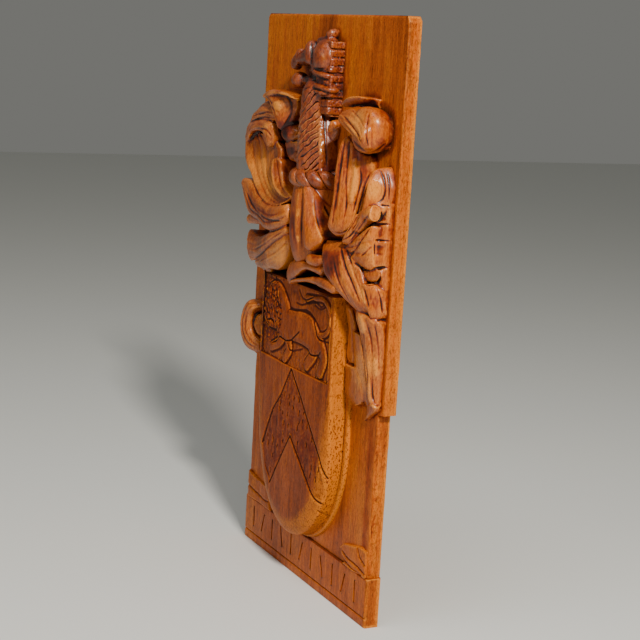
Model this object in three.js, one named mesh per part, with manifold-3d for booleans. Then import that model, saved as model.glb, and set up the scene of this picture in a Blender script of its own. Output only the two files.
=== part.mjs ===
// A carved coat of arms: an upright hardwood plaque with a shield, a helmet with its twisted
// wreath, a beast's head as the crest and leafy mantling on both sides, all cut from one piece.
// Millimetres, +Z up, the carved front faces -Y and the flat back lies in the plane Y = 0.
// The origin is the middle of the flat back.
import * as THREE from 'three';
import { mergeVertices } from 'three/addons/utils/BufferGeometryUtils.js';
import Module from 'manifold-3d';

const wasm = await Module();
wasm.setup();

// Board. It is wider above its shoulders, and ends a little above the crest.
const boardWidth = 348;
const boardThickness = 16;
const shoulderStep = 12;
const shoulderHeight = 241;
const topMargin = 21;
const cornerWear = 5;

// Banner along the foot, with a groove above and below its row of strokes.
const bannerHeight = 56;
const bannerRise = 2.5;
const bannerOverhang = 3;
const grooveDepth = 1.2;
const grooveWidth = 2.2;
const lowerGroove = 11;
const strokeCount = 11;
const strokeLength = 24;
const strokeMargin = 26;
const strokeLeans = [0, 0.3, 0, -0.3];
const bannerFold = 64;
const foldHeight = 28;
const foldRise = 3;

// Shield, standing just above the banner.
const shieldWidth = 192;
const shieldHeight = 298;
const shieldOffset = -4;
const shieldRise = 24;
const shieldCamber = 3;
const shieldRoll = 7;
const shieldGap = 2;
const bowlShare = 0.42;
const footStep = 9;
const footStepRise = 4;
const chiefHeight = 98;
const chiefSink = 2;
const chevronHeight = 77;
const chevronSlopes = [1.3, 0.98];
const chevronTop = 4;
const chevronRise = 1.6;
const lionLength = 180;
const lionRise = 4;

// Mantling. It starts below the shield's head and stops short of the board's sides.
const mantlingMargin = 6;
const mantlingDrop = 124;
const mantlingHeight = 348;
const mantlingRelief = 40;

// Helmet, standing above the shield, and the wreath on top of it.
const helmetLift = 34;
const helmetHeight = 80;
const helmetWidth = 74;
const helmetRelief = 41;
const helmetOffset = 8;
const wreathRadius = 41;
const wreathOffset = 2;
const wreathRoll = 11;
const wreathSwell = 0.14;
const wreathRunIn = 0.05;
const wreathTwists = 10;

// Crest, a beast's head and neck with a comb down its back.
const crestHeight = 158;
const crestRelief = 36;
const combSlats = 9;
const combReach = 35;
const combRelief = 17;
const combGap = 4;
const combStart = 0.44;
const combEnd = 0.96;
const combSlatShare = 0.7;

// How deep the raised pieces are rooted in the board, how far a leaf's sides draw in, and how much
// it is crowned where its own row says nothing, in hundredths of the mantling's relief
const rootDepth = 3;
const leafRoot = 0.8;
const leafCrown = 12.5;

const lowerWidth = boardWidth - 2 * shoulderStep;
const mantlingHalfSpan = boardWidth / 2 - mantlingMargin;
const shieldFoot = bannerHeight + shieldGap;
const shieldHead = shieldFoot + shieldHeight;
const shieldBowl = shieldHeight * bowlShare;
const chiefFoot = shieldHead - chiefHeight;
const mantlingFoot = shieldHead - mantlingDrop;
const helmetFoot = shieldHead + helmetLift;
const wreathUp = helmetFoot + helmetHeight + wreathRoll * 0.7;
const crestFoot = helmetFoot + helmetHeight + wreathRoll;
const boardHeight = crestFoot + crestHeight + topMargin;
const footZ = -boardHeight / 2;
const frontY = -boardThickness;

const wood = new THREE.MeshStandardMaterial({ color: 0x9c5a26, roughness: 0.45, metalness: 0 });

// A point on the carving: across from the middle, up from the foot, out from the board's front.
function carved(across, up, out) {
  return new THREE.Vector3(across, frontY - out, footZ + up);
}

function capTriangles(ring, start, triangles) {
  const normal = new THREE.Vector3();
  ring.forEach((a, i) => {
    const b = ring[(i + 1) % ring.length];
    normal.x += (a.y - b.y) * (a.z + b.z);
    normal.y += (a.z - b.z) * (a.x + b.x);
    normal.z += (a.x - b.x) * (a.y + b.y);
  });
  normal.normalize();
  const right = new THREE.Vector3(normal.y, normal.z, normal.x).cross(normal).normalize();
  const up = new THREE.Vector3().crossVectors(normal, right);
  const flat = ring.map((p) => new THREE.Vector2(p.dot(right), p.dot(up)));
  THREE.ShapeUtils.triangulateShape(flat, []).forEach((t) => triangles.push(t.map((i) => i + start)));
}

// A closed body through rings that all have the same number of points
function loft(rings) {
  const count = rings[0].length;
  const triangles = [];
  for (let r = 0; r < rings.length - 1; r += 1) {
    for (let i = 0; i < count; i += 1) {
      const a = r * count + i;
      const b = r * count + ((i + 1) % count);
      triangles.push([a, b, b + count], [a, b + count, a + count]);
    }
  }
  const last = rings.length - 1;
  const lastCap = [];
  const firstCap = [];
  capTriangles(rings[0], 0, firstCap);
  capTriangles(rings[last], last * count, lastCap);
  firstCap.forEach(([a, b, c]) => triangles.push([c, b, a]));
  lastCap.forEach((t) => triangles.push(t));
  const points = rings.flat();
  let volume = 0;
  triangles.forEach(([a, b, c]) => {
    volume += points[a].dot(new THREE.Vector3().crossVectors(points[b], points[c]));
  });
  if (volume < 0) triangles.forEach((t) => t.reverse());
  const geometry = new THREE.BufferGeometry();
  const places = points.flatMap((p) => p.toArray());
  geometry.setAttribute('position', new THREE.Float32BufferAttribute(places, 3));
  geometry.setIndex(triangles.flat());
  return geometry;
}

function toSolid(geometry) {
  const plain = geometry.clone();
  plain.deleteAttribute('normal');
  plain.deleteAttribute('uv');
  const merged = mergeVertices(plain, 1e-4);
  return new wasm.Manifold(new wasm.Mesh({
    numProp: 3,
    vertProperties: new Float32Array(merged.attributes.position.array),
    triVerts: new Uint32Array(merged.index.array),
  }));
}

function toGeometry(solid) {
  const mesh = solid.getMesh();
  const geometry = new THREE.BufferGeometry();
  const places = new Float32Array(mesh.vertProperties);
  geometry.setAttribute('position', new THREE.BufferAttribute(places, 3));
  geometry.setIndex(new THREE.BufferAttribute(new Uint32Array(mesh.triVerts), 1));
  return geometry;
}

// A value between the first, full and last width along a leaf
function swell(t, first, last, peak) {
  const toPeak = t < peak ? t / peak : (1 - t) / (1 - peak);
  const end = t < peak ? first : last;
  return end + (1 - end) * Math.sin((toPeak * Math.PI) / 2);
}

// A leaf or fold rooted in the board: its top follows a few points, fluted and crowned across,
// and its sides draw in towards the root
function leaf({
  through, wide, crown, tilt, first = 0.4, last = 0.15, peak = 0.5, flutes = 2,
}) {
  const curve = new THREE.CatmullRomCurve3(through, false, 'centripetal');
  const stations = 2 * through.length;
  const across = flutes * 2 + 3;
  const rings = [];
  for (let s = 0; s < stations; s += 1) {
    const t = s / (stations - 1);
    const centre = curve.getPoint(t);
    const along = curve.getTangent(t);
    const side = new THREE.Vector3(-along.z, 0, along.x).normalize();
    const half = wide * swell(t, first, last, peak);
    const depth = Math.min(crown, half * 0.6);
    const at = (u, y) => new THREE.Vector3(centre.x + side.x * half * u, y, centre.z + side.z * half * u);
    const ring = [];
    for (let i = 0; i < across; i += 1) {
      const u = (2 * i) / (across - 1) - 1;
      const flute = i % 2 === 0 ? 0 : half * 0.1;
      const out = -depth * u * u + tilt * u - flute;
      ring.push(at(u, centre.y - out));
    }
    const root = frontY + rootDepth;
    ring.push(at(leafRoot, root), at(-leafRoot, root));
    rings.push(ring);
  }
  return loft(rings);
}

// A rounded limb on the board: an oval section that follows a few points
function limb({ through, wide, deep, sides = 10, stations = 7, fullness = 2 }) {
  const curve = new THREE.CatmullRomCurve3(through, false, 'centripetal');
  const rings = [];
  const pick = (list, t) => {
    const at = Math.min(t * (list.length - 1), list.length - 1.0001);
    const low = Math.floor(at);
    return list[low] + (list[low + 1] - list[low]) * (at - low);
  };
  const squared = (value) => Math.sign(value) * Math.abs(value) ** (2 / fullness);
  for (let s = 0; s < stations; s += 1) {
    const t = s / (stations - 1);
    const centre = curve.getPoint(t);
    const along = curve.getTangent(t);
    const side = new THREE.Vector3(-along.z, 0, along.x).normalize();
    const ring = [];
    for (let i = 0; i < sides; i += 1) {
      const angle = (2 * Math.PI * i) / sides;
      const u = squared(Math.cos(angle)) * pick(wide, t);
      const y = Math.min(centre.y - squared(Math.sin(angle)) * pick(deep, t), frontY + rootDepth);
      ring.push(new THREE.Vector3(centre.x + side.x * u, y, centre.z + side.z * u));
    }
    rings.push(ring);
  }
  return loft(rings);
}

function block(x0, x1, up0, up1, out0, out1) {
  const geometry = new THREE.BoxGeometry(x1 - x0, out1 - out0, up1 - up0);
  geometry.translate((x0 + x1) / 2, frontY - (out0 + out1) / 2, footZ + (up0 + up1) / 2);
  return geometry;
}

// A flat outline in the board's plane, given thickness
function cutout(shape, out0, out1) {
  const geometry = new THREE.ExtrudeGeometry(shape, { depth: out1 - out0, bevelEnabled: false });
  geometry.rotateX(Math.PI / 2);
  geometry.translate(0, frontY - out0, footZ);
  return geometry;
}

function board() {
  const halfTop = boardWidth / 2;
  const halfLow = lowerWidth / 2;
  const shape = new THREE.Shape();
  shape.moveTo(-halfLow, 0);
  shape.lineTo(halfLow, 0);
  shape.lineTo(halfLow, shoulderHeight);
  shape.lineTo(halfTop, shoulderHeight);
  shape.lineTo(halfTop, boardHeight - cornerWear);
  shape.lineTo(halfTop - cornerWear, boardHeight);
  shape.lineTo(-halfTop + cornerWear, boardHeight);
  shape.lineTo(-halfTop, boardHeight - cornerWear);
  shape.lineTo(-halfTop, shoulderHeight);
  shape.lineTo(-halfLow, shoulderHeight);
  return cutout(shape, -boardThickness, 0);
}

// Half width of the shield at a height above its own foot: straight above, a bowl below
function shieldHalf(up) {
  const below = Math.max(0, 1 - up / shieldBowl);
  return (shieldWidth / 2) * Math.sqrt(1 - below * below);
}

// How far the shield's face stands out, at a place across it and a distance in from its edge
function shieldFace(across, inset = shieldRoll) {
  const share = across / (shieldWidth / 2);
  const near = Math.max(0, 1 - inset / shieldRoll);
  const rolledOff = shieldRoll * (1 - Math.sqrt(1 - near * near));
  return shieldRise + shieldCamber * (1 - share * share) - rolledOff;
}

const onShield = (across, up, out) => carved(shieldOffset + across, up, out);

function shieldBody() {
  const levels = [0.004, 0.03, 0.09, 0.18, 0.31, 0.47, 0.68, 1].map((share) => share * shieldBowl);
  levels.push(shieldHeight);
  const inwards = [0, shieldRoll * 0.3, shieldRoll];
  const rings = levels.map((up) => {
    const half = shieldHalf(up);
    const places = inwards.filter((inset) => inset < half).map((inset) => half - inset);
    while (places.length < inwards.length) places.push(places[places.length - 1] * 0.5);
    const row = [...places.map((x) => -x), -places[2] * 0.4, places[2] * 0.4, ...places.reverse()];
    const ring = row.map((x) => {
      const inset = Math.min(half - Math.abs(x), up);
      return onShield(x, shieldFoot + up, shieldFace(x, inset));
    });
    ring.push(onShield(half, shieldFoot + up, -rootDepth), onShield(-half, shieldFoot + up, -rootDepth));
    return ring;
  });
  return loft(rings);
}

function shieldOutline(grow) {
  const shape = new THREE.Shape();
  const half = shieldWidth / 2 + grow;
  const deep = shieldBowl + Math.min(grow, shieldGap / 2);
  const steps = 14;
  shape.moveTo(shieldOffset + half, shieldHead);
  for (let i = 0; i <= steps; i += 1) {
    const angle = (i / steps) * Math.PI;
    shape.lineTo(shieldOffset + half * Math.cos(angle), shieldFoot + shieldBowl - deep * Math.sin(angle));
  }
  shape.lineTo(shieldOffset - half, shieldHead);
  return shape;
}

// A slab that follows the shield's face between two heights, which may change across it
function faceSlab(half, low, high, out0, out1) {
  const rings = [-1, -0.5, 0, 0.5, 1].map((share) => {
    const across = share * half;
    const face = shieldFace(across);
    return [
      onShield(across, low(across), face + out0),
      onShield(across, high(across), face + out0),
      onShield(across, high(across), face + out1),
      onShield(across, low(across), face + out1),
    ];
  });
  return loft(rings);
}

// The chief is sunk a little so that the beast stands out from it
function chiefSinking() {
  const half = shieldWidth / 2 - shieldRoll;
  return faceSlab(half, () => chiefFoot, () => shieldHead - shieldRoll, -chiefSink, shieldRoll);
}

function chevron() {
  const half = shieldWidth / 2 - shieldRoll;
  const top = chiefFoot - chevronTop;
  const slope = (across) => Math.abs(across) * (across < 0 ? chevronSlopes[0] : chevronSlopes[1]);
  return faceSlab(
    half,
    (across) => top - chevronHeight - slope(across),
    (across) => top - slope(across),
    -shieldRoll,
    chevronRise,
  );
}

// The beast on the chief walks to the left. Points are hundredths of its length.
const lionParts = [
  { through: [[-26, 4], [-8, 1], [12, 3], [32, 0]], wide: [11, 9, 8, 10, 5] },
  { through: [[-22, 6], [-33, 12], [-41, 12]], wide: [9, 15, 9] },
  { through: [[-40, 14], [-46, 11], [-51, 8]], wide: [7, 6, 3] },
  { through: [[-27, -2], [-36, -8], [-46, -2]], wide: [7, 4.6, 4.6] },
  { through: [[-20, -3], [-22, -16], [-31, -25]], wide: [7, 4.4, 3.6] },
  { through: [[24, -2], [27, -14], [18, -25]], wide: [9, 4.6, 3.6] },
  { through: [[31, -2], [38, -13], [32, -25]], wide: [8, 4.6, 3.6] },
  {
    through: [[34, 3], [46, 4], [51, 14], [40, 21], [22, 18], [2, 20]],
    wide: [2.4, 2.2, 3.4, 4.4, 3],
  },
];

function lion() {
  const middle = chiefFoot + chiefHeight / 2;
  const unit = lionLength / 100;
  const base = (across) => shieldFace(across) - chiefSink - lionRise;
  return lionParts.map(({ through, wide }) => limb({
    through: through.map(([x, z]) => onShield(x * unit, middle + z * unit, base(x * unit))),
    wide: wide.map((w) => w * unit),
    deep: [lionRise * 2, lionRise * 2],
    sides: 6,
    stations: through.length + 2,
  }));
}

// Strokes of the banner: upright and slanting cuts in turn, in the place of an inscription
function strokes() {
  const room = lowerWidth - 2 * strokeMargin;
  const middle = lowerGroove + (bannerHeight - lowerGroove) / 2;
  const cuts = [];
  for (let i = 0; i < strokeCount; i += 1) {
    const stroke = new THREE.BoxGeometry(grooveWidth, grooveDepth * 2, strokeLength);
    stroke.rotateY(strokeLeans[i % strokeLeans.length]);
    const across = -room / 2 + (room * i) / (strokeCount - 1);
    stroke.translate(across, frontY - bannerRise, footZ + middle);
    cuts.push(stroke);
  }
  return cuts;
}

// A folded ribbon end that rests above the banner, on the right (side 1) or the left (side -1)
function ribbonEnd(side) {
  const outer = lowerWidth / 2 * side;
  const inward = -bannerFold * side;
  const base = bannerHeight - rootDepth;
  const top = bannerHeight + foldHeight;
  const shape = new THREE.Shape();
  shape.moveTo(outer, base);
  shape.lineTo(outer, top);
  shape.lineTo(outer + inward * 0.5, bannerHeight + foldHeight * 0.82);
  shape.lineTo(outer + inward * 0.86, bannerHeight + foldHeight * 0.6);
  shape.lineTo(outer + inward * 0.72, bannerHeight + foldHeight * 0.3);
  shape.lineTo(outer + inward, base);
  return cutout(shape, -rootDepth, foldRise);
}

function banner() {
  const half = lowerWidth / 2 + bannerOverhang;
  return block(-half, half, 0, bannerHeight, -boardThickness, bannerRise);
}

function bannerGrooves() {
  const half = lowerWidth / 2 + bannerOverhang;
  return [lowerGroove, bannerHeight].map((up) => {
    const low = up - grooveWidth / 2;
    return block(-half, half, low, low + grooveWidth, bannerRise - grooveDepth, bannerRise + foldRise);
  });
}

// Mantling: each leaf follows its points, in hundredths of the half span, height and relief. Its
// width is in hundredths of the half span, its crown and tilt in hundredths of the relief.
const rightLeaves = [
  // fan at the top and the rolled edge behind it
  {
    through: [[34, 93, 40], [52, 92, 68], [72, 89, 76], [86, 86, 50]],
    wide: 16, first: 0.25, last: 0.85, peak: 0.7, flutes: 4,
  },
  { through: [[48, 98, 36], [68, 100, 45], [86, 97, 24]], wide: 4.5, flutes: 1 },
  // hanging inner folds
  {
    through: [[55, 87, 50], [58, 78, 80], [58, 67, 86], [52, 57, 80], [42, 53, 70]],
    wide: 9.5, first: 0.6, last: 0.4, tilt: -12.5, flutes: 3,
  },
  { through: [[70, 82, 30], [75, 72, 42], [73, 61, 46], [65, 55, 50]], wide: 9, tilt: -5 },
  { through: [[28, 70, 30], [38, 78, 36], [46, 88, 30]], wide: 8, first: 0.6, last: 0.6 },
  // outer rim and its lobes down the margin
  {
    through: [[80, 82, 40], [91, 76, 68], [92, 68, 72], [87, 60, 68], [76, 55, 55]],
    wide: 7, first: 0.5, last: 0.5, flutes: 1,
  },
  { through: [[85, 70, 68], [94, 69, 62], [101, 68, 36]], wide: 5, last: 0.6, flutes: 1 },
  { through: [[80, 64, 66], [93, 64, 60], [101, 63, 36]], wide: 5, last: 0.6, flutes: 1 },
  { through: [[39, 53, 66], [57, 54, 65], [77, 59, 62], [100, 59, 38]], wide: 6, last: 0.6 },
  { through: [[37, 51, 66], [60, 51, 65], [80, 51, 60], [100, 51, 38]], wide: 6.5, last: 0.6 },
  { through: [[45, 49, 66], [68, 47, 60], [96, 45, 36]], wide: 5.5, last: 0.6 },
  { through: [[58, 47, 60], [76, 43, 55], [89, 38, 50], [93, 33, 32]], wide: 8, last: 0.6 },
  // long leaf down to the tail
  {
    through: [[50, 53, 90], [65, 44, 76], [78, 34, 54], [84, 22, 48], [86, 9, 44]],
    wide: 14, first: 0.4, last: 0.8, tilt: -10, flutes: 3,
  },
  { through: [[78, 12, 42], [71, 6, 32], [69, 2, 22]], wide: 5, flutes: 1 },
  {
    through: [[89, 17, 46], [90, 9, 48], [94, 5, 42], [99, 7, 32], [99, 15, 20]],
    wide: 3.4, last: 0.5, flutes: 1,
  },
  { through: [[82, 9, 42], [91, 3, 32], [100, 0, 20]], wide: 6, flutes: 1 },
];

const leftLeaves = [
  // curl at the top
  {
    through: [[-33, 93, 40], [-52, 93, 64], [-71, 93, 66], [-86, 94, 34]],
    wide: 14, first: 0.35, last: 0.6, peak: 0.6, flutes: 3,
  },
  // great scoop with its raised outer edge, the roll across it and the leaf inside it
  {
    through: [[-57, 90, 46], [-75, 84, 54], [-82, 76, 58], [-73, 70, 64], [-56, 65, 72], [-36, 64, 70]],
    wide: 15, first: 0.5, last: 0.45, crown: -7.5, tilt: -20, flutes: 3,
  },
  { through: [[-96, 78, 80], [-85, 81, 82], [-70, 80, 74]], wide: 3, flutes: 1 },
  { through: [[-31, 74, 65], [-46, 73, 75], [-48, 68, 80], [-33, 66, 80]], wide: 4.5, flutes: 1 },
  { through: [[-39, 82, 55], [-52, 80, 68], [-62, 79, 70]], wide: 4, flutes: 1 },
  {
    through: [[-22, 86, 26], [-38, 77, 34], [-36, 64, 42]],
    wide: 13, first: 0.5, last: 0.7, flutes: 3,
  },
  // leaves that sweep out to the margin
  {
    through: [[-95, 66, 78], [-77, 61, 85], [-57, 58, 88], [-33, 57, 88], [-15, 57, 85]],
    wide: 9, first: 0.15, last: 0.6,
  },
  {
    through: [[-94, 57, 70], [-74, 56, 78], [-51, 54, 82], [-24, 54, 85]],
    wide: 6.5, first: 0.3, last: 0.6,
  },
  {
    through: [[-95, 49, 60], [-71, 51, 70], [-42, 51, 80]],
    wide: 3.5, first: 0.1, last: 0.5, flutes: 1,
  },
  {
    through: [[-87, 40, 60], [-65, 41, 75], [-42, 45, 85], [-15, 49, 90]],
    wide: 13, first: 0.75, last: 0.5, flutes: 4,
  },
  // stem down beside the shield and the hooked tail
  { through: [[-36, 46, 75], [-50, 40, 65], [-60, 34, 45], [-67, 27, 25]], wide: 7 },
  {
    through: [[-70, 20, 20], [-89, 20, 50], [-96, 15, 60], [-90, 9, 60], [-73, 9, 45]],
    wide: 7.5, first: 0.5, last: 0.4,
  },
];

// Folds that spill from under the helmet over the head of the shield
const collarFolds = [
  { through: [[-24, 37, 75], [-7, 41, 90], [12, 43, 95], [30, 44, 90]], wide: 5, flutes: 1 },
  { through: [[-6, 35, 82], [12, 38, 90], [36, 37, 85], [52, 34, 70]], wide: 5, flutes: 1 },
];

function mantling() {
  return [...rightLeaves, ...leftLeaves, ...collarFolds].map((shape) => leaf({
    ...shape,
    through: shape.through.map(([x, z, out]) => carved(
      (x / 100) * mantlingHalfSpan,
      mantlingFoot + (z / 100) * mantlingHeight,
      (out / 100) * mantlingRelief,
    )),
    wide: (shape.wide / 100) * mantlingHalfSpan,
    crown: ((shape.crown ?? leafCrown) / 100) * mantlingRelief,
    tilt: ((shape.tilt ?? 0) / 100) * mantlingRelief,
  }));
}

// Helmet: a keeled bell, with a beaked visor to the left and a rolled collar below
function helmet() {
  const half = helmetWidth / 2;
  const at = (x, z, out = 0) => carved(
    helmetOffset + x * half,
    helmetFoot + z * helmetHeight,
    out * helmetRelief,
  );
  return [
    limb({
      through: [at(-0.1, 1), at(-0.1, 0.75), at(0, 0.5), at(0.1, 0.27), at(0.25, 0.1)],
      wide: [0.8, 0.9, 0.95, 1.1, 1.35].map((share) => share * half),
      deep: [0.86, 1, 1, 0.96, 0.9].map((share) => share * helmetRelief),
      sides: 12,
      stations: 8,
      fullness: 1.7,
    }),
    limb({
      through: [at(-0.5, 0.62), at(-0.95, 0.5), at(-1.3, 0.42)],
      wide: [half * 0.55, half * 0.4, half * 0.12],
      deep: [0.85, 0.7, 0.5].map((share) => share * helmetRelief),
      sides: 8,
      stations: 4,
    }),
    limb({
      through: [at(-0.8, 0.1, 0.4), at(0, 0.02, 0.7), at(0.8, 0.06, 0.6), at(1.5, 0.2, 0.35)],
      wide: [half * 0.2, half * 0.26, half * 0.26, half * 0.12],
      deep: [0.25, 0.34, 0.34, 0.15].map((share) => share * helmetRelief),
      sides: 8,
      stations: 7,
    }),
  ];
}

// The wreath goes round the helmet's top as a rope: lobes that turn as they go along
function wreath() {
  const stations = 3 * wreathTwists + 1;
  const sides = 8;
  const rings = [];
  for (let s = 0; s < stations; s += 1) {
    const t = s / (stations - 1);
    const around = Math.PI * (t * (1 + 2 * wreathRunIn) - wreathRunIn);
    const outward = new THREE.Vector3(-Math.cos(around), -Math.sin(around), 0);
    const centre = carved(wreathOffset, wreathUp, 0).addScaledVector(outward, wreathRadius - wreathRoll);
    const ring = [];
    for (let i = 0; i < sides; i += 1) {
      const angle = (2 * Math.PI * i) / sides;
      const lobe = 1 + wreathSwell * Math.cos(2 * angle - t * wreathTwists * 2 * Math.PI);
      const point = centre.clone().addScaledVector(outward, Math.cos(angle) * wreathRoll * lobe);
      point.z += Math.sin(angle) * wreathRoll * lobe;
      ring.push(point);
    }
    rings.push(ring);
  }
  return loft(rings);
}

// Crest: points and widths are hundredths of its height, depths hundredths of its relief
const crestParts = [
  // neck
  {
    through: [[3, -14, 0], [1, 20, 0], [-3, 45, 0], [-1, 66, 0]],
    wide: [18, 18, 16, 14, 14], deep: [95, 92, 84, 76, 78], sides: 10, stations: 7,
  },
  // skull and brow
  {
    through: [[16, 87, 10], [0, 91, 14], [-14, 89, 12], [-22, 86, 10]],
    wide: [8, 12, 11, 7], deep: [50, 70, 66, 46], stations: 5,
  },
  // cheek
  {
    through: [[12, 70, 8], [-2, 76, 10], [-12, 79, 8]],
    wide: [10, 14, 10], deep: [64, 80, 62], stations: 4,
  },
  // muzzle
  {
    through: [[-16, 90, 22], [-25, 87, 22], [-31, 84, 20]],
    wide: [7, 6, 4], deep: [52, 48, 34], sides: 8, stations: 4,
  },
  // lower jaw and the end of the tongue
  {
    through: [[-12, 72, 22], [-27, 75, 22], [-39, 80, 20]],
    wide: [5, 4.5, 4.5], deep: [48, 42, 38], sides: 8, stations: 4,
  },
  // beard
  {
    through: [[-14, 68, 20], [-27, 67, 20], [-35, 66, 18]],
    wide: [5, 6, 3], deep: [40, 42, 20], sides: 8, stations: 4,
  },
  // ear
  {
    through: [[-2, 100, 24], [8, 102, 24], [17, 103, 16]],
    wide: [3.5, 3.6, 1.4], deep: [34, 30, 10], sides: 6, stations: 4,
  },
  // shoulder lobes on both sides of the neck
  {
    through: [[14, 26, 6], [24, 33, 12], [32, 36, 10]],
    wide: [6, 8, 4], deep: [36, 42, 20], sides: 8, stations: 5,
  },
  {
    through: [[-16, 26, 10], [-30, 28, 18], [-45, 27, 16]],
    wide: [7, 7, 4], deep: [44, 46, 22], sides: 8, stations: 5,
  },
  {
    through: [[-14, 8, 16], [-24, 12, 22], [-28, 20, 20]],
    wide: [7, 6, 2], deep: [40, 36, 10], sides: 8, stations: 4,
  },
];

function crest() {
  const unit = crestHeight / 100;
  const deepUnit = crestRelief / 100;
  const pieces = crestParts.map((shape) => limb({
    ...shape,
    through: shape.through.map(([x, z, out]) => carved(x * unit, crestFoot + z * unit, out * deepUnit)),
    wide: shape.wide.map((w) => w * unit),
    deep: shape.deep.map((d) => d * deepUnit),
  }));
  const low = crestFoot + crestHeight * combStart;
  const high = crestFoot + crestHeight * combEnd;
  const pitch = (high - low) / combSlats;
  for (let i = 0; i < combSlats; i += 1) {
    const start = low + i * pitch;
    pieces.push(block(0, combReach, start, start + combSlatShare * pitch, -rootDepth, combRelief));
  }
  pieces.push(block(0, combReach - combGap, low, high - combGap, -rootDepth, combRelief - combGap));
  return pieces;
}

function carvedPanel() {
  const shieldStep = cutout(shieldOutline(footStep), -rootDepth, footStepRise);
  const raised = [banner(), ribbonEnd(1), ribbonEnd(-1), shieldStep];
  raised.push(...mantling(), ...helmet(), ...crest(), wreath());
  const inside = toSolid(cutout(shieldOutline(-shieldRoll / 2), 0, shieldRise * 2));
  let shield = toSolid(shieldBody()).subtract(toSolid(chiefSinking()));
  [chevron(), ...lion()].forEach((piece) => {
    shield = shield.add(toSolid(piece).intersect(inside));
  });
  let solid = toSolid(board()).add(shield);
  raised.forEach((geometry) => {
    solid = solid.add(toSolid(geometry));
  });
  [...bannerGrooves(), ...strokes()].forEach((geometry) => {
    solid = solid.subtract(toSolid(geometry));
  });
  return toGeometry(solid);
}

const coatOfArms = new THREE.Group();
const panel = new THREE.Mesh(carvedPanel(), wood);
panel.name = 'carved_panel';
coatOfArms.add(panel);

export default coatOfArms;
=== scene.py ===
import math
import bpy
import numpy as np
from mathutils import Matrix, Vector


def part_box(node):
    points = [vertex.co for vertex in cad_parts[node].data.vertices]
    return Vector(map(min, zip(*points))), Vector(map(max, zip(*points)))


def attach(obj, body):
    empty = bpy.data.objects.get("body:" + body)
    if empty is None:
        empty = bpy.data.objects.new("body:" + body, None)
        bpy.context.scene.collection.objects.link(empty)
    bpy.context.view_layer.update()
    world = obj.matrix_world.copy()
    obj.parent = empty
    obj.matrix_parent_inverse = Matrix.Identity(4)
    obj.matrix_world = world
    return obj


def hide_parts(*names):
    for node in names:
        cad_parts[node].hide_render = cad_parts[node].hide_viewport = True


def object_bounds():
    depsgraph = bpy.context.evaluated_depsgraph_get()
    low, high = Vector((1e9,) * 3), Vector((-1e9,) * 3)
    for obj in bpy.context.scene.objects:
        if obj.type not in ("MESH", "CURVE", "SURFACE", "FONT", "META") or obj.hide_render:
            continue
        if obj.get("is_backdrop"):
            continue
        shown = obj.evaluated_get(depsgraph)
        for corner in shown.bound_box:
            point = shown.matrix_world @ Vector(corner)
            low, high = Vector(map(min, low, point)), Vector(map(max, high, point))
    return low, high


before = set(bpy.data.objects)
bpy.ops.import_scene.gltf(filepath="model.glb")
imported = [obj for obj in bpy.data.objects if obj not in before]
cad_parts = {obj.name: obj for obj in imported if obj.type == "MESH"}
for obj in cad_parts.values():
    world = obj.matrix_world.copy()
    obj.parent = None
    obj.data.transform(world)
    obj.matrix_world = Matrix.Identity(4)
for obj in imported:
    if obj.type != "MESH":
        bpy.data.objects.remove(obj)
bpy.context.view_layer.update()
low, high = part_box("carved_panel")

# The plaque in millimetres: across from the middle, up from the foot, out from the board's front
plaque = {
    "height": (high.z - low.z) * 1000,
    "thickness": 16.0,
    "halfWidth": 174.0,
    "halfLower": 162.0,
    "shoulder": 241.0,
    "cornerWear": 5.0,
    "root": 3.0,             # how deep a raised form is sunk into the board
}


def place(points):
    p = np.asarray(points, float)
    footed = p[..., 1] - plaque["height"] / 2
    return np.stack([p[..., 0], -(plaque["thickness"] + p[..., 2]), footed], -1) / 1000


def unplace(points):
    p = np.asarray(points, float) * 1000
    return np.stack([p[..., 0], p[..., 2] + plaque["height"] / 2, -p[..., 1] - plaque["thickness"]], -1)


scatter = np.array([374761393, 668265263, 2246822519], np.uint32)


# Smooth noise from -1 to 1, the same on every run
def softNoise(points, size, seed=0):
    p = np.asarray(points, float) / size + 31.7 + seed * 7.13
    cell = np.floor(p).astype(np.int64)
    part = p - cell
    part = part * part * (3 - 2 * part)
    total = np.zeros(len(p))
    for corner in range(8):
        step = np.array([corner & 1, corner >> 1 & 1, corner >> 2 & 1])
        mixed = ((cell + step).astype(np.uint32) * scatter).sum(1, dtype=np.uint32)
        mixed = (mixed ^ (mixed >> np.uint32(13))) * np.uint32(1274126177)
        mixed = mixed ^ (mixed >> np.uint32(16))
        weight = np.prod(np.where(step, part, 1 - part), axis=1)
        total += weight * (mixed / 2147483648.0 - 1)
    return total


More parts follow.
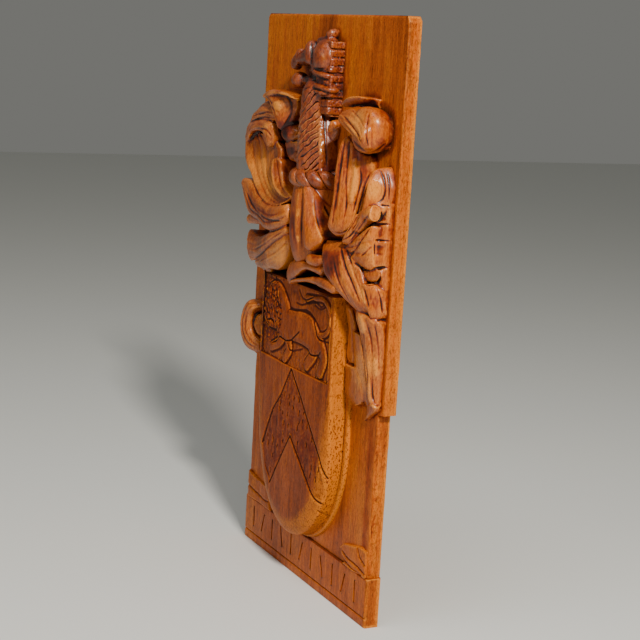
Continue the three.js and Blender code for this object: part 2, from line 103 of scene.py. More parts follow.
# A smooth line through rows of values, whose first three are a place, in even steps
def smoothPath(rows, step):
    rows = np.asarray(rows, float)
    gaps = np.sqrt(np.linalg.norm(np.diff(rows[:, :3], axis=0), axis=1)) + 1e-6
    knots = np.concatenate([[0], np.cumsum(gaps)])
    slopes = np.diff(rows, axis=0) / gaps[:, None]
    tangents = np.vstack([slopes[:1], np.zeros((len(rows) - 2, rows.shape[1])), slopes[-1:]])
    for i in range(1, len(rows) - 1):
        tangents[i] = (slopes[i - 1] * gaps[i] + slopes[i] * gaps[i - 1]) / (gaps[i] + gaps[i - 1])
    fine = []
    for i, gap in enumerate(gaps):
        t = np.linspace(0, 1, 30, endpoint=i == len(gaps) - 1)[:, None]
        fine.append((2 * t**3 - 3 * t**2 + 1) * rows[i] + (t**3 - 2 * t**2 + t) * gap * tangents[i]
                    + (3 * t**2 - 2 * t**3) * rows[i + 1] + (t**3 - t**2) * gap * tangents[i + 1])
    fine = np.vstack(fine)
    run = np.concatenate([[0], np.cumsum(np.linalg.norm(np.diff(fine[:, :3], axis=0), axis=1))])
    count = max(6, int(run[-1] / step))
    even = np.linspace(0, run[-1], count)
    return np.stack([np.interp(even, run, fine[:, k]) for k in range(fine.shape[1])], 1), even


# A closed form through rings of points, with its faces pointing out
def closedForm(rings):
    stations, around = rings.shape[:2]
    points = rings.reshape(-1, 3)
    i, j = np.meshgrid(np.arange(stations - 1), np.arange(around), indexing="ij")
    a = (i * around + j).ravel()
    b = (i * around + (j + 1) % around).ravel()
    quads = np.stack([a, b, b + around, a + around], 1)
    ends = np.array([rings[0].mean(0), rings[-1].mean(0)])
    k = np.arange(around)
    after = (k + 1) % around
    last = (stations - 1) * around
    first = np.stack([np.full(around, len(points)), after, k], 1)
    final = np.stack([np.full(around, len(points) + 1), last + k, last + after], 1)
    points = np.vstack([points, ends])
    faces = [*quads.tolist(), *first.tolist(), *final.tolist()]
    corners = np.vstack([quads[:, :3], quads[:, [0, 2, 3]], first, final])
    p = place(points)
    volume = np.einsum("ij,ij->", p[corners[:, 0]], np.cross(p[corners[:, 1]], p[corners[:, 2]]))
    if volume < 0:
        faces = [face[::-1] for face in faces]
    return points, faces


def endShape(run, half, start, end):
    share = np.ones(len(run))
    for tip, away, width in ((start, run - run[0], half[0]), (end, run[-1] - run, half[-1])):
        if tip == "round":
            near = np.clip(1 - away / max(width, 2.0), 0, 1)
            share = np.minimum(share, np.sqrt(np.maximum(1 - near**2, 0.003)))
    return share


foldLook = {"step": 1.8, "streak": 0.4}


# A carved leaf or fold, spanned between its two edges: each row is across, up and out of both.
# Sharp grooves part its flutes, and a crown below zero hollows it.
def fold(rows, flutes=3, groove=1.6, crown=3.0, rootIn=0.08, start="round", end="round", drop=4.0, seed=0):
    rows = np.asarray(rows, float)
    path, run = smoothPath(np.hstack([(rows[:, :3] + rows[:, 3:6]) / 2, rows]), foldLook["step"])
    centre, reach = path[:, :3], (path[:, 6:9] - path[:, 3:6]) / 2
    half = np.linalg.norm(reach[:, :2], axis=1)
    share = endShape(run, half, start, end)
    reach = reach * share[:, None]
    half = np.maximum(half * share, 0.25)
    count = flutes * 9 + 6
    u = np.linspace(-1, 1, count)
    u = 0.75 * u + 0.25 * np.sin(np.pi / 2 * u)
    shift = 0.10 * np.sin(4.2 * u + seed * 1.7) * (1 - u**2)
    depth = np.minimum(groove, half * 0.6 / max(flutes, 1)) * np.clip(share * 1.4 - 0.4, 0, 1)
    wave = np.abs(np.sin(np.pi * flutes * (u + shift + 1) / 2)) ** 0.75
    cut = (1 - wave) * (0.8 + 0.2 * np.cos(u * flutes * 2.1 + seed))
    bend = np.sign(crown) * np.minimum(abs(crown), half * 0.6)
    out = (centre[:, 2:3] + reach[:, 2:3] * u + bend[:, None] * (1 - u**2) - depth[:, None] * cut
           - drop * (1 - share)[:, None] - 0.7 * np.abs(u) ** 16)
    spots = np.stack([np.outer(half, u).ravel() / 1.3, np.repeat(run, count) / 18,
                      np.full(out.size, seed * 3.1)], 1)
    streaks = softNoise(spots, 1.0, seed).reshape(out.shape)
    out = out + foldLook["streak"] * streaks * np.clip(share, 0, 1)[:, None]
    wallSteps = np.array([0.04, 0.12, 0.25, 0.4, 0.55, 0.7, 0.85, 1.0])
    spread = 1 - rootIn * wallSteps
    root = -plaque["root"]
    rightOut = out[:, -1:] + (root - out[:, -1:]) * wallSteps
    leftOut = out[:, :1] + (root - out[:, :1]) * wallSteps
    sideways = np.concatenate([np.tile(u, (len(run), 1)), np.tile(spread, (len(run), 1)),
                               np.tile(-spread[::-1], (len(run), 1))], 1)
    outs = np.concatenate([out, rightOut, leftOut[:, ::-1]], 1)
    flat = centre[:, None, :2] + reach[:, None, :2] * sideways[:, :, None]
    return closedForm(np.concatenate([flat, outs[:, :, None]], 2))


# A rounded limb: rows are across, up, out, half width and how far it stands out
def limb(rows, sides=28, fullness=2.0, start="round", end="round", step=1.8):
    path, run = smoothPath(rows, step)
    centre, half, deep = path[:, :3], path[:, 3], path[:, 4]
    share = endShape(run, half, start, end)[:, None]
    along = np.gradient(centre[:, :2], axis=0)
    along /= np.linalg.norm(along, axis=1)[:, None] + 1e-9
    side = np.stack([-along[:, 1], along[:, 0]], 1)
    angle = np.linspace(0, 2 * np.pi, sides, endpoint=False)
    across = np.sign(np.cos(angle)) * np.abs(np.cos(angle)) ** (2 / fullness) * half[:, None] * share
    rise = np.sign(np.sin(angle)) * np.abs(np.sin(angle)) ** (2 / fullness) * deep[:, None] * share
    outs = np.maximum(centre[:, 2:3] + rise, -plaque["root"])
    flat = centre[:, None, :2] + side[:, None, :] * across[:, :, None]
    return closedForm(np.concatenate([flat, outs[:, :, None]], 2))


def ball(across, up, out, wide, tall, deep, sides=20):
    turn = np.linspace(0.02, np.pi - 0.02, sides // 2 + 1)
    angle = np.linspace(0, 2 * np.pi, sides, endpoint=False)
    x = across + wide * np.outer(np.sin(turn), np.cos(angle))
    z = up + tall * np.outer(np.cos(turn), np.ones(sides))
    y = np.maximum(out + deep * np.outer(np.sin(turn), np.sin(angle)), -plaque["root"])
    return closedForm(np.stack([x, z, y], 2))


# A sheet over a grid of heights, with a flat underside
def sheetForm(x, ups, heights, under):
    rings = []
    for up, row in zip(ups, heights.reshape(len(ups), len(x))):
        front = np.stack([x, np.full(len(x), up), row], 1)
        rings.append(np.vstack([front, [[x[-1], up, under], [x[0], up, under]]]))
    return closedForm(np.array(rings))


# The places of a grid as rows of across and up
def gridPlaces(x, ups):
    return np.stack(np.meshgrid(x, ups), -1).reshape(-1, 2)


# Places laid flat: across, up and nothing out
def laidFlat(places):
    return np.column_stack([places, np.zeros(len(places))])


# A smooth line over the flat through knots
def flatLine(knots, middle=0.0):
    return list(smoothPath([(a - middle, b, 0) for a, b in knots], 2.0)[0][:, :2])


def joinForms(forms):
    points, faces, count = [], [], 0
    for p, f in forms:
        points.append(p)
        faces.extend([[i + count for i in face] for face in f])
        count += len(p)
    return np.vstack(points), faces


def addObject(name, data):
    thing = bpy.data.objects.new(name, data)
    bpy.context.scene.collection.objects.link(thing)
    return thing


def makePiece(name, forms):
    points, faces = joinForms(forms)
    mesh = bpy.data.meshes.new(name)
    mesh.from_pydata(place(points).tolist(), [], faces)
    mesh.update()
    return addObject(name, mesh)


def readPoints(piece):
    points = np.zeros(len(piece.data.vertices) * 3, np.float32)
    piece.data.vertices.foreach_get("co", points)
    return points.reshape(-1, 3).astype(float)


def readNormals(piece):
    normals = np.zeros(len(piece.data.vertices) * 3, np.float32)
    piece.data.vertex_normals.foreach_get("vector", normals)
    return normals.reshape(-1, 3).astype(float)


# The normals as across, up and out
def readFacing(piece):
    normals = readNormals(piece)
    return np.stack([normals[:, 0], normals[:, 2], -normals[:, 1]], 1)


def writePoints(piece, points):
    piece.data.vertices.foreach_set("co", points.astype(np.float32).ravel())
    piece.data.update()


# Hands and gouges leave every surface a little uneven
def roughen(piece, amounts, seed=0):
    points = readPoints(piece)
    mm = unplace(points)
    push = np.zeros(len(points))
    for size, height in amounts:
        push += height * softNoise(mm, size, seed + size)
    writePoints(piece, points + readNormals(piece) * push[:, None] / 1000)


# The modifiers' result becomes the piece's own mesh
def settle(piece):
    bpy.context.view_layer.update()
    graph = bpy.context.evaluated_depsgraph_get()
    mesh = bpy.data.meshes.new_from_object(piece.evaluated_get(graph))
    piece.modifiers.clear()
    old = piece.data
    piece.data = mesh
    bpy.data.meshes.remove(old)


def fuse(piece, voxel, smooth=2):
    remesh = piece.modifiers.new("fuse", "REMESH")
    remesh.mode = "VOXEL"
    remesh.voxel_size = voxel / 1000
    remesh.use_smooth_shade = True
    soften = piece.modifiers.new("soften", "SMOOTH")
    soften.factor = 0.5
    soften.iterations = smooth
    settle(piece)


def ease(value, start, end):
    t = np.clip((value - start) / (end - start), 0, 1)
    return t * t * (3 - 2 * t)


# The panel is worked from its right: the maker's eye and its ways ahead, aside and up, as across, up, out
bench = np.array([1525.0, 627.0, 762.0])
ahead = np.array([-0.8785, -0.1810, -0.4421])
aside = np.array([0.4396, 0.0562, -0.8964])
upright = np.cross(aside, ahead)


def linedUp(mm):
    away = np.asarray(mm, float) - bench
    depth = away @ ahead
    flat = np.stack([away @ aside, away @ upright], 1) / depth[:, None] * np.linalg.norm(bench)
    return flat, depth


# the stain attribute holds dark wax and stain, and also the painted shade and painted highlights of the
# strokes
def addStain(piece, amount):
    attribute = piece.data.attributes.get("stainAndPaintedLight") or piece.data.attributes.new("stainAndPaintedLight", "FLOAT", "POINT")
    before = np.zeros(len(piece.data.vertices), np.float32)
    attribute.data.foreach_get("value", before)
    attribute.data.foreach_set("value", (before + amount).astype(np.float32))


# How far along a straight line each place lies, as a share of it, and how far off it
def besideLine(places, start, end):
    way = end - start
    share = np.clip(((places - start) @ way) / (way @ way + 1e-9), 0, 1)
    return share, np.linalg.norm(places - (start + share[:, None] * way), axis=1)


gougeLook = {"widen": 1.45, "fade": 0.22, "dark": 0.42, "reach": 34.0}


# Each stroke cuts, raises or tints what its line runs over, as seen from the bench; a tint paints stain and
# shade, and below zero rubbed wood and highlights
def gouge(piece, strokes):
    mm = unplace(readPoints(piece))
    normals = readFacing(piece)
    flat, depth = linedUp(mm)
    facing = ease(-normals @ ahead, -0.05, 0.35)
    reach = gougeLook["reach"]
    push, stainAndPaintedLight = np.zeros(len(mm)), np.zeros(len(mm))
    for width, cut, tint, line in strokes:
        knots, deep = linedUp(smoothPath(line, 4.0)[0])
        width *= gougeLook["widen"]
        along = np.linspace(0, 1, len(knots))
        faded = np.sqrt(np.clip(np.minimum(along, 1 - along) / gougeLook["fade"], 0, 1))
        tint *= gougeLook["dark"] if tint > 0 and cut > 0 else 1
        low, high = knots.min(0) - 3 * width, knots.max(0) + 3 * width
        near = np.flatnonzero(((flat > low) & (flat < high)).all(1) & (facing > 0))
        if not len(near):
            continue
        best = np.full(len(near), 1e9)
        behind, strong = np.zeros(len(near)), np.zeros(len(near))
        for k in range(len(knots) - 1):
            t, far = besideLine(flat[near], knots[k], knots[k + 1])
            closer = far < best
            best[closer] = far[closer]
            behind[closer] = np.abs(depth[near] - deep[k] - t * (deep[k + 1] - deep[k]))[closer]
            strong[closer] = (faded[k] + t * (faded[k + 1] - faded[k]))[closer]
        uneven = 0.85 + 0.4 * softNoise(mm[near], 9, 71)
        share = np.exp(-(best / (width * (0.35 + 0.65 * strong))) ** 2) * strong * uneven
        share *= facing[near] * (1 - ease(behind, reach - 8, reach))
        push[near] -= cut * share
        stainAndPaintedLight[near] += tint * share
    mm += normals * push[:, None]
    writePoints(piece, place(mm))
    addStain(piece, stainAndPaintedLight)


print("tools ready")

# Board
boardLook = {"step": 3.0, "edge": 1.6, "columns": 116, "sawMarks": 0.45, "planeMarks": 0.22, "wave": 1.6,
             "chips": 0.7}


def boardForm():
    top, shoulder = plaque["height"], plaque["shoulder"]
    levels = [0, 1.2]
    levels += list(np.arange(4, shoulder - 2, boardLook["step"])) + [shoulder - 0.8, shoulder + 0.8]
    levels += list(np.arange(shoulder + 3, top - plaque["cornerWear"], boardLook["step"]))
    levels += [top - 4.2, top - 2.6, top - 1.2, top]
    rings = []
    for z in levels:
        half = plaque["halfWidth"] if z > shoulder else plaque["halfLower"]
        half -= max(0, z - (top - plaque["cornerWear"])) * 0.9
        ends = min(z, top - z)
        edge = boardLook["edge"]
        inset = edge if ends < 0.01 else max(0, edge - ends) * 0.6
        across = np.linspace(-half + edge, half - edge, boardLook["columns"])
        front = np.stack([across, np.full(len(across), z), np.full(len(across), -inset)], 1)
        depth = np.array([0.35, 1.2, 4, 7, 10, 13, 15.2])
        inward = np.array([0.4, 0, 0, 0, 0, 0, 0.2]) * edge
        right = np.stack([half - inward - inset * 0.5, np.full(len(depth), z), -depth - inset * 0.3], 1)
        left = right[::-1] * np.array([-1, 1, 1])
        back = np.array([[half - edge, z, -plaque["thickness"]], [0, z, -plaque["thickness"]],
                         [-half + edge, z, -plaque["thickness"]]])
        rings.append(np.vstack([front, right, back, left]))
    return closedForm(np.array(rings))


board = makePiece("board", [boardForm()])


def wearBoard():
    mm = unplace(readPoints(board))
    normals = readFacing(board)
    isBack = mm[:, 2] < -plaque["thickness"] + 0.4
    sideways = np.abs(normals[:, 0]) ** 2
    push = boardLook["planeMarks"] * softNoise(mm * [1, 0.25, 1], 9, 3)
    saws = softNoise(mm * [1, 0.6, 1], 4, 5) + softNoise(mm, 2.2, 6) * 0.6
    push += sideways * boardLook["sawMarks"] * saws
    lowerEdge = np.clip((plaque["shoulder"] - mm[:, 1]) / 40, 0, 1) * np.clip(mm[:, 1] / 30, 0, 1)
    push += sideways * lowerEdge * boardLook["wave"] * softNoise(mm * [0.3, 1, 0.3], 26, 8)
    push += sideways * lowerEdge * boardLook["chips"] * softNoise(mm, 5, 9)
    push[isBack] = 0
    # a dark margin along the lower board, and old wax in the rough of its side
    margin = np.exp(-((mm[:, 0] - 150) / 8) ** 2) * lowerEdge * (mm[:, 2] > -2)
    addStain(board, 0.4 * margin + 0.5 * sideways * lowerEdge * ease(softNoise(mm, 3.2, 10), 0.05, 0.4))
    mm += normals * push[:, None]
    writePoints(board, place(mm))


wearBoard()
print("board done")


# A tree of geometry nodes with named inputs for its sizes
def newTree(name, labels):
    tree = bpy.data.node_groups.new(name, "GeometryNodeTree")
    tree.interface.new_socket("Geometry", in_out="INPUT", socket_type="NodeSocketGeometry")
    tree.interface.new_socket("Geometry", in_out="OUTPUT", socket_type="NodeSocketGeometry")
    for label in labels:
        tree.interface.new_socket(label, in_out="INPUT", socket_type="NodeSocketFloat")
    sizes = tree.nodes.new("NodeGroupInput").outputs
    return tree, sizes, tree.nodes.new("NodeGroupOutput").inputs[0]


def treeNode(tree, kind, inputs=None, **settings):
    node = tree.nodes.new(kind)
    for key, value in settings.items():
        setattr(node, key, value)
    for key, value in (inputs or {}).items():
        if hasattr(value, "is_output"):
            tree.links.new(value, node.inputs[key])
        else:
            node.inputs[key].default_value = value
    return node


def treeMath(tree, operation, a, b=0.0):
    return treeNode(tree, "ShaderNodeMath", {0: a, 1: b}, operation=operation).outputs[0]


def times(tree, a, b):
    return treeMath(tree, "MULTIPLY", a, b)


# Values by their weights, added up
def weighed(tree, *pairs):
    total, *others = [times(tree, value, weight) for value, weight in pairs]
    for part in others:
        total = treeMath(tree, "ADD", total, part)
    return total


# A tree ends in real geometry with a place for its material
def closeTree(tree, geometry, end):
    real = treeNode(tree, "GeometryNodeRealizeInstances", {0: geometry})
    dressed = treeNode(tree, "GeometryNodeSetMaterial", {"Geometry": real.outputs[0]})
    tree.links.new(dressed.outputs[0], end)
    return tree


def growTree(piece, tree, sizes):
    modifier = piece.modifiers.new(tree.name, "NODES")
    modifier.node_group = tree
    for item in tree.interface.items_tree:
        if item.in_out == "INPUT" and item.name in sizes:
            modifier[item.identifier] = float(sizes[item.name])
    settle(piece)


# Shield
shield = {
    "middle": -4.0,
    "half": 96.0,
    "foot": 58.0,
    "head": 356.0,
    "bowl": 125.0,
    "rise": 24.0,
    "camber": 3.0,
    "roll": 3.0,             # width of the rounded edge beside the chief
    "bowlRoll": 24.0,        # and round the bowl
    "rollDrop": 3.0,
    "bowlDrop": 10.0,
    "step": 5.5,
    "stepRise": 4.5,
    "chiefFoot": 258.0,
    "chiefSink": 2.2,
    "columns": 188,
}


def shieldHalf(up):
    below = np.maximum(0, 1 - (up - shield["foot"]) / shield["bowl"])
    return shield["half"] * np.sqrt(np.maximum(0, 1 - below**2))


# Distance in from the shield's outline
def shieldInset(x, up):
    above = up - shield["foot"]
    below = np.clip(1 - above / shield["bowl"], 0, 1)
    share = np.abs(x) / shield["half"]
    reach = np.sqrt(share**2 + below**2)
    slope = np.sqrt((share / shield["half"])**2 + (below / shield["bowl"])**2) / np.maximum(reach, 1e-6)
    curved = (1 - reach) / np.maximum(slope, 1e-6)
    return np.maximum(0, np.where(below > 0, curved, shield["half"] - np.abs(x)))


def shieldOut(x, up):
    inset = shieldInset(x, up)
    rounder = 1 - ease(up, 120, 262)
    roll = shield["roll"] + (shield["bowlRoll"] - shield["roll"]) * rounder
    drop = shield["rollDrop"] + (shield["bowlDrop"] - shield["rollDrop"]) * rounder
    near = np.clip(1 - inset / roll, 0, 1)
    out = shield["rise"] + shield["camber"] * (1 - (x / shield["half"])**2)
    out = out - drop * (1 - np.sqrt(np.maximum(0, 1 - near**2.2)))
    onChief = ease(up, shield["chiefFoot"] - 0.7, shield["chiefFoot"] + 0.7)
    sunk = shield["chiefSink"] * ease(inset, 6.0, 7.4)
    return out - sunk * onChief


def shieldForm():
    turns = np.radians(np.concatenate([[2.2, 4, 6], np.arange(7.2, 90, 0.62)]))
    bowlRows = shield["foot"] + shield["bowl"] * (1 - np.cos(turns))
    upper = np.arange(shield["foot"] + shield["bowl"], shield["head"] - 1, 1.15)
    upper = upper[np.abs(upper - shield["chiefFoot"]) > 1.2]
    step = shield["chiefFoot"] + np.array([-0.8, -0.3, 0.3, 0.8])
    ups = np.sort(np.concatenate([bowlRows, upper, step, [shield["head"]]]))
    u = np.linspace(-1, 1, shield["columns"])
    u = 1.25 * u - 0.25 * u**5
    rings = []
    for up in ups:
        half = shieldHalf(up)
        x = half * u
        out = shieldOut(x, np.full(len(x), up))
        front = np.stack([shield["middle"] + x, np.full(len(x), up), out], 1)
        walls = np.linspace(0, 1, 10)[1:]
        edge = out[-1]
        right = np.stack([np.full(len(walls), shield["middle"] + half), np.full(len(walls), up),
                          edge + (-plaque["root"] - edge) * walls], 1)
        left = right[::-1] * [-1, 1, 1] + [2 * shield["middle"], 0, 0]
        rings.append(np.vstack([front, right, left]))
    return closedForm(np.array(rings))


# The low step that follows the shield's outline on the board
def shieldStep():
    turns = np.radians(np.linspace(0, 180, 61))
    clear = shield["step"] * (0.12 + 0.88 * np.abs(np.cos(turns)) ** 0.8)
    x = shield["middle"] + (shield["half"] + clear) * np.cos(turns)
    up = shield["foot"] + shield["bowl"] - (shield["bowl"] + clear * 0.5) * np.sin(turns)
    wide = 1.2 + 3.4 * np.abs(np.cos(turns)) ** 0.7
    rows = [[shield["middle"] + shield["half"] + shield["step"], shield["head"] - 4, 4.6]]
    rows += [[a, b, c] for a, b, c in zip(x, up, wide)]
    rows += [[shield["middle"] - shield["half"] - shield["step"], shield["head"] - 4, 4.6]]
    return limb([[a, b, 0, c, shield["stepRise"]] for a, b, c in rows], sides=20, fullness=2.6, step=3)


# Chevron: cut lines round a rough field that is a little sunk, with short tool marks on it, in mm
chevron = {
    "cut": 1.9,
    "width": 1.35,
    "sunk": 0.7,
    "rough": 0.32,
    "mark": 1.4,
    "markWidth": 0.9,
    "markShare": 0.6,        # share of the places that get a mark
}
# Across from the shield's middle, and up
chevronLines = [
    [(1, 256), (31, 227), (58, 197), (80, 172), (91, 150)],
    [(1, 256), (-24, 219), (-45, 197), (-58, 175), (-72, 150)],
    [(7, 178), (-15, 148), (-43, 108)],
    [(8, 177), (31, 158), (53, 139), (71, 122), (88, 112)],
]
chevronField = [(1, 252), (31, 224), (58, 194), (79, 170), (86, 145), (86, 120), (71, 125), (53, 142),
                (31, 161), (7, 182), (-15, 151), (-43, 111), (-58, 122), (-72, 150), (-58, 172), (-45, 194),
                (-24, 216)]


# Whether each place lies inside an outline
def insideOutline(points, outline):
    x, z = points[:, 0], points[:, 1]
    inside = np.zeros(len(points), bool)
    for (ax, az), (bx, bz) in zip(outline, outline[1:] + outline[:1]):
        crosses = (az > z) != (bz > z)
        at = ax + (z - az) * (bx - ax) / (bz - az if bz != az else 1e-9)
        inside ^= crosses & (x < at)
    return inside


def lineDistance(points, line):
    nearest = np.full(len(points), 1e9)
    for a, b in zip(line[:-1], line[1:]):
        nearest = np.minimum(nearest, besideLine(points, np.array(a, float), np.array(b, float))[1])
    return nearest


# The beast on the chief walks to the left: across, up and half width of each limb
beastLimbs = [
    [(58, 308, 3.6), (70, 310, 3.8), (80, 317, 4.0), (83, 330, 4.0), (77, 343, 4.0), (64, 349, 3.8),
     (47, 347, 3.6), (27, 344, 4.8)],
    [(-34, 306, 19), (-10, 306, 18), (15, 308, 19), (38, 306, 19), (54, 298, 14)],
    [(-34, 320, 18), (-56, 322, 29), (-68, 316, 24)],
    [(-66, 312, 17), (-82, 306, 9)],
    [(-32, 292, 11), (-42, 280, 7.5), (-64, 270, 6)],
    [(-18, 292, 10), (-13, 277, 7), (-24, 264, 6.5)],
    [(46, 300, 15), (48, 284, 9), (34, 268, 7)],
    [(60, 298, 12), (73, 284, 7.5), (66, 266, 7)],
]
beastLines = [
    [(5, 350), (12, 343), (25, 342), (42, 348)],
    [(-1, 334), (13, 334), (28, 339), (43, 344), (51, 342), (61, 340), (68, 346)],
    [(-14, 326), (-1, 325), (14, 328), (27, 330), (41, 326), (52, 315), (58, 306), (70, 303), (82, 304)],
    [(-60, 276), (-46, 281), (-39, 287), (-22, 286), (-8, 289), (2, 295), (14, 303)],
    [(-14, 284), (-9, 277), (7, 280), (20, 284)],
    [(34, 286), (46, 283), (60, 285), (67, 290)],
    [(45, 339), (58, 337), (69, 341)],
    [(-78, 300), (-66, 303), (-58, 300)],
]
chief = {"grain": 0.85, "rise": 2.6, "cut": 1.7, "halfWidth": 91.5, "floor": 12.0, "mane": (-64, 314, 44)}


def maneShare(points):
    across, up, reach = chief["mane"]
    return ease(reach - np.hypot((points[:, 0] - across) * 1.25, points[:, 1] - up), 0, 6)


def beastAway(points):
    away = np.full(len(points), 1e9)
    for rows in beastLimbs:
        knots = smoothPath([(x - shield["middle"], z, 0, w) for x, z, w in rows], 2.0)[0]
        for a, b in zip(knots[:-1], knots[1:]):
            t, far = besideLine(points, a[:2], b[:2])
            away = np.minimum(away, far - (a[3] + (b[3] - a[3]) * t))
    return away


def beastHeight(points):
    away = beastAway(points)
    body = chief["rise"] * (0.55 * ease(-away, -0.2, 1.6) + 0.45 * ease(-away, 0, 7))
    return body, body - chief["cut"] * np.exp(-((away - 0.5) / 1.1) ** 2)


def chiefForm():
    x = np.arange(-chief["halfWidth"], chief["halfWidth"] + 0.1, chief["grain"])
    ups = np.arange(shield["chiefFoot"] + 0.6, shield["head"] - 1.0, chief["grain"])
    grid = gridPlaces(x, ups)
    ground = shieldOut(grid[:, 0], grid[:, 1]) + 0.25
    body, height = beastHeight(grid)
    for line in beastLines:
        height -= chief["cut"] * np.exp(-(lineDistance(grid, flatLine(line, shield["middle"])) / 0.95) ** 2)
    flat = laidFlat(grid)
    mane = maneShare(grid)
    curls = np.abs(softNoise(flat * [1.0, 0.7, 1], 4.2, 11)) ** 0.6
    height += mane * (2.6 * curls - 1.5) + mane * 0.5 * softNoise(flat, 1.9, 12)
    lowDown = ease(shield["chiefFoot"] + 26 - grid[:, 1], 0, 10)
    height -= 1.8 * np.clip(softNoise(flat, 2.6, 13), 0, 1) * (body < 0.6) * lowDown
    height += 0.3 * softNoise(flat, 6, 14)
    return sheetForm(shield["middle"] + x, ups, ground + height, chief["floor"])


# Chevron lines are cut, its field is left rough, with short tool marks strewn over it
def carveShield(piece):
    mm = unplace(readPoints(piece))
    flat = mm[:, :2] - [shield["middle"], 0]
    onFront = (mm[:, 2] > shield["rise"] - shield["bowlDrop"] - 2) & (flat[:, 1] < shield["chiefFoot"] - 1)
    push = np.zeros(len(mm))
    for line in chevronLines:
        push -= chevron["cut"] * np.exp(-(lineDistance(flat, line) / chevron["width"]) ** 2)
    inside = insideOutline(flat, chevronField)
    spots = laidFlat(flat)
    rough = chevron["rough"] * softNoise(spots * [1, 0.55, 1], 5.0, 21) + 0.15 * softNoise(spots, 1.9, 22)
    push += inside * (rough - chevron["sunk"])
    rng = np.random.default_rng(7)
    for up in np.arange(118, 246, 11.5):
        for x in np.arange(-66, 86, 13.0):
            a, b = x + rng.uniform(-3, 3), up + rng.uniform(-3, 3)
            long = rng.uniform(2.5, 5.5)
            here = insideOutline(np.array([[a, b], [a, b + long]]), chevronField)
            if here.all() and rng.random() < chevron["markShare"]:
                bent = [(a, b), (a + rng.uniform(-0.8, 0.8), b + long * 0.5),
                        (a + rng.uniform(-1.5, 1.5), b + long)]
                push -= chevron["mark"] * np.exp(-(lineDistance(flat, bent) / chevron["markWidth"]) ** 2)
    mm[:, 2] += push * onFront
    writePoints(piece, place(mm))
    stainShield(piece, flat, -0.34 * push * onFront)


# Old wax lies dark in the cuts
def stainShield(piece, flat, cuts):
    inChief = (flat[:, 1] > shield["chiefFoot"]) & (np.abs(flat[:, 0]) < chief["halfWidth"] - 1)
    near = np.full(len(flat), 1e9)
    for line in beastLines:
        near = np.minimum(near, lineDistance(flat, flatLine(line, shield["middle"])))
    stainAndPaintedLight = 0.9 * np.exp(-((beastAway(flat) - 0.5) / 1.5) ** 2) + 0.8 * np.exp(-(near / 1.3) ** 2)
    stainAndPaintedLight += 0.3 * maneShare(flat)
    lines = np.zeros(len(flat))
    for line in chevronLines:
        lines = np.maximum(lines, np.exp(-(lineDistance(flat, line) / 1.3) ** 2))
    # the chief's left edge
    stainAndPaintedLight += 1.2 * ease(-flat[:, 0], 87, 90.5)
    addStain(piece, np.clip(cuts, 0, 0.8) + inChief * stainAndPaintedLight + ~inChief * 0.6 * lines)


shieldPiece = makePiece("shield", [shieldForm(), chiefForm(), shieldStep()])
carveShield(shieldPiece)
roughen(shieldPiece, [(14, 0.16), (4, 0.08)], 31)
# A crack over the bowl's edge and the chip where a chevron line ends
gouge(shieldPiece, [
    (0.7, 1.8, 1.6, [(66, 108, 19), (73, 105, 17), (78, 104, 13), (77, 98, 7)]),
    (0.8, 0.9, -1.0, [(99, 149, 19), (100, 146, 17)]),
])
print("shield done", len(shieldPiece.data.polygons))

# Banner
banner = {
    "height": 56.0,
    "rise": 2.5,
    "overhang": 3.0,
    "strokeCount": 11,
    "strokeLength": 25.0,
    "strokeWidth": 3.0,
    "strokeDepth": 0.9,
    "strokeMargin": 24.0,
    "strokeLean": 0.3,
    "lowerGroove": 11.0,
    "columns": 130,
}


def bannerForm():
    half = plaque["halfLower"] + banner["overhang"]
    top = banner["height"]
    groove = banner["lowerGroove"]
    ups = [0, 1, 3, 6] + [groove + gap for gap in (-2.4, -1.3, -0.7, 0, 0.7, 1.3, 2.4)]
    ups += list(np.linspace(groove + 5, top - 5, 14)) + [top - 2.2, top - 1.0, top - 0.2, top + 0.5]
    x = np.linspace(-half + 1.2, half - 1.2, banner["columns"])
    behind = 0.6 - plaque["thickness"]
    rings = []
    for up in ups:
        out = banner["rise"] - 1.3 * math.exp(-((up - groove) / 0.8) ** 2)
        out -= 1.2 * max(0, (up - (top - 1.2)) / 1.7) + 0.9 * max(0, (1.2 - up) / 1.2)
        front = np.stack([x, np.full(len(x), up), np.full(len(x), out)], 1)
        depths = np.array([out - 1.0, -2, -6, -10, -13, 1.2 - plaque["thickness"]])
        right = np.stack([np.full(len(depths), half), np.full(len(depths), up), depths], 1)
        back = np.array([[half - 1.2, up, behind], [-half + 1.2, up, behind]])
        rings.append(np.vstack([front, right, back, right[::-1] * [-1, 1, 1]]))
    return closedForm(np.array(rings))


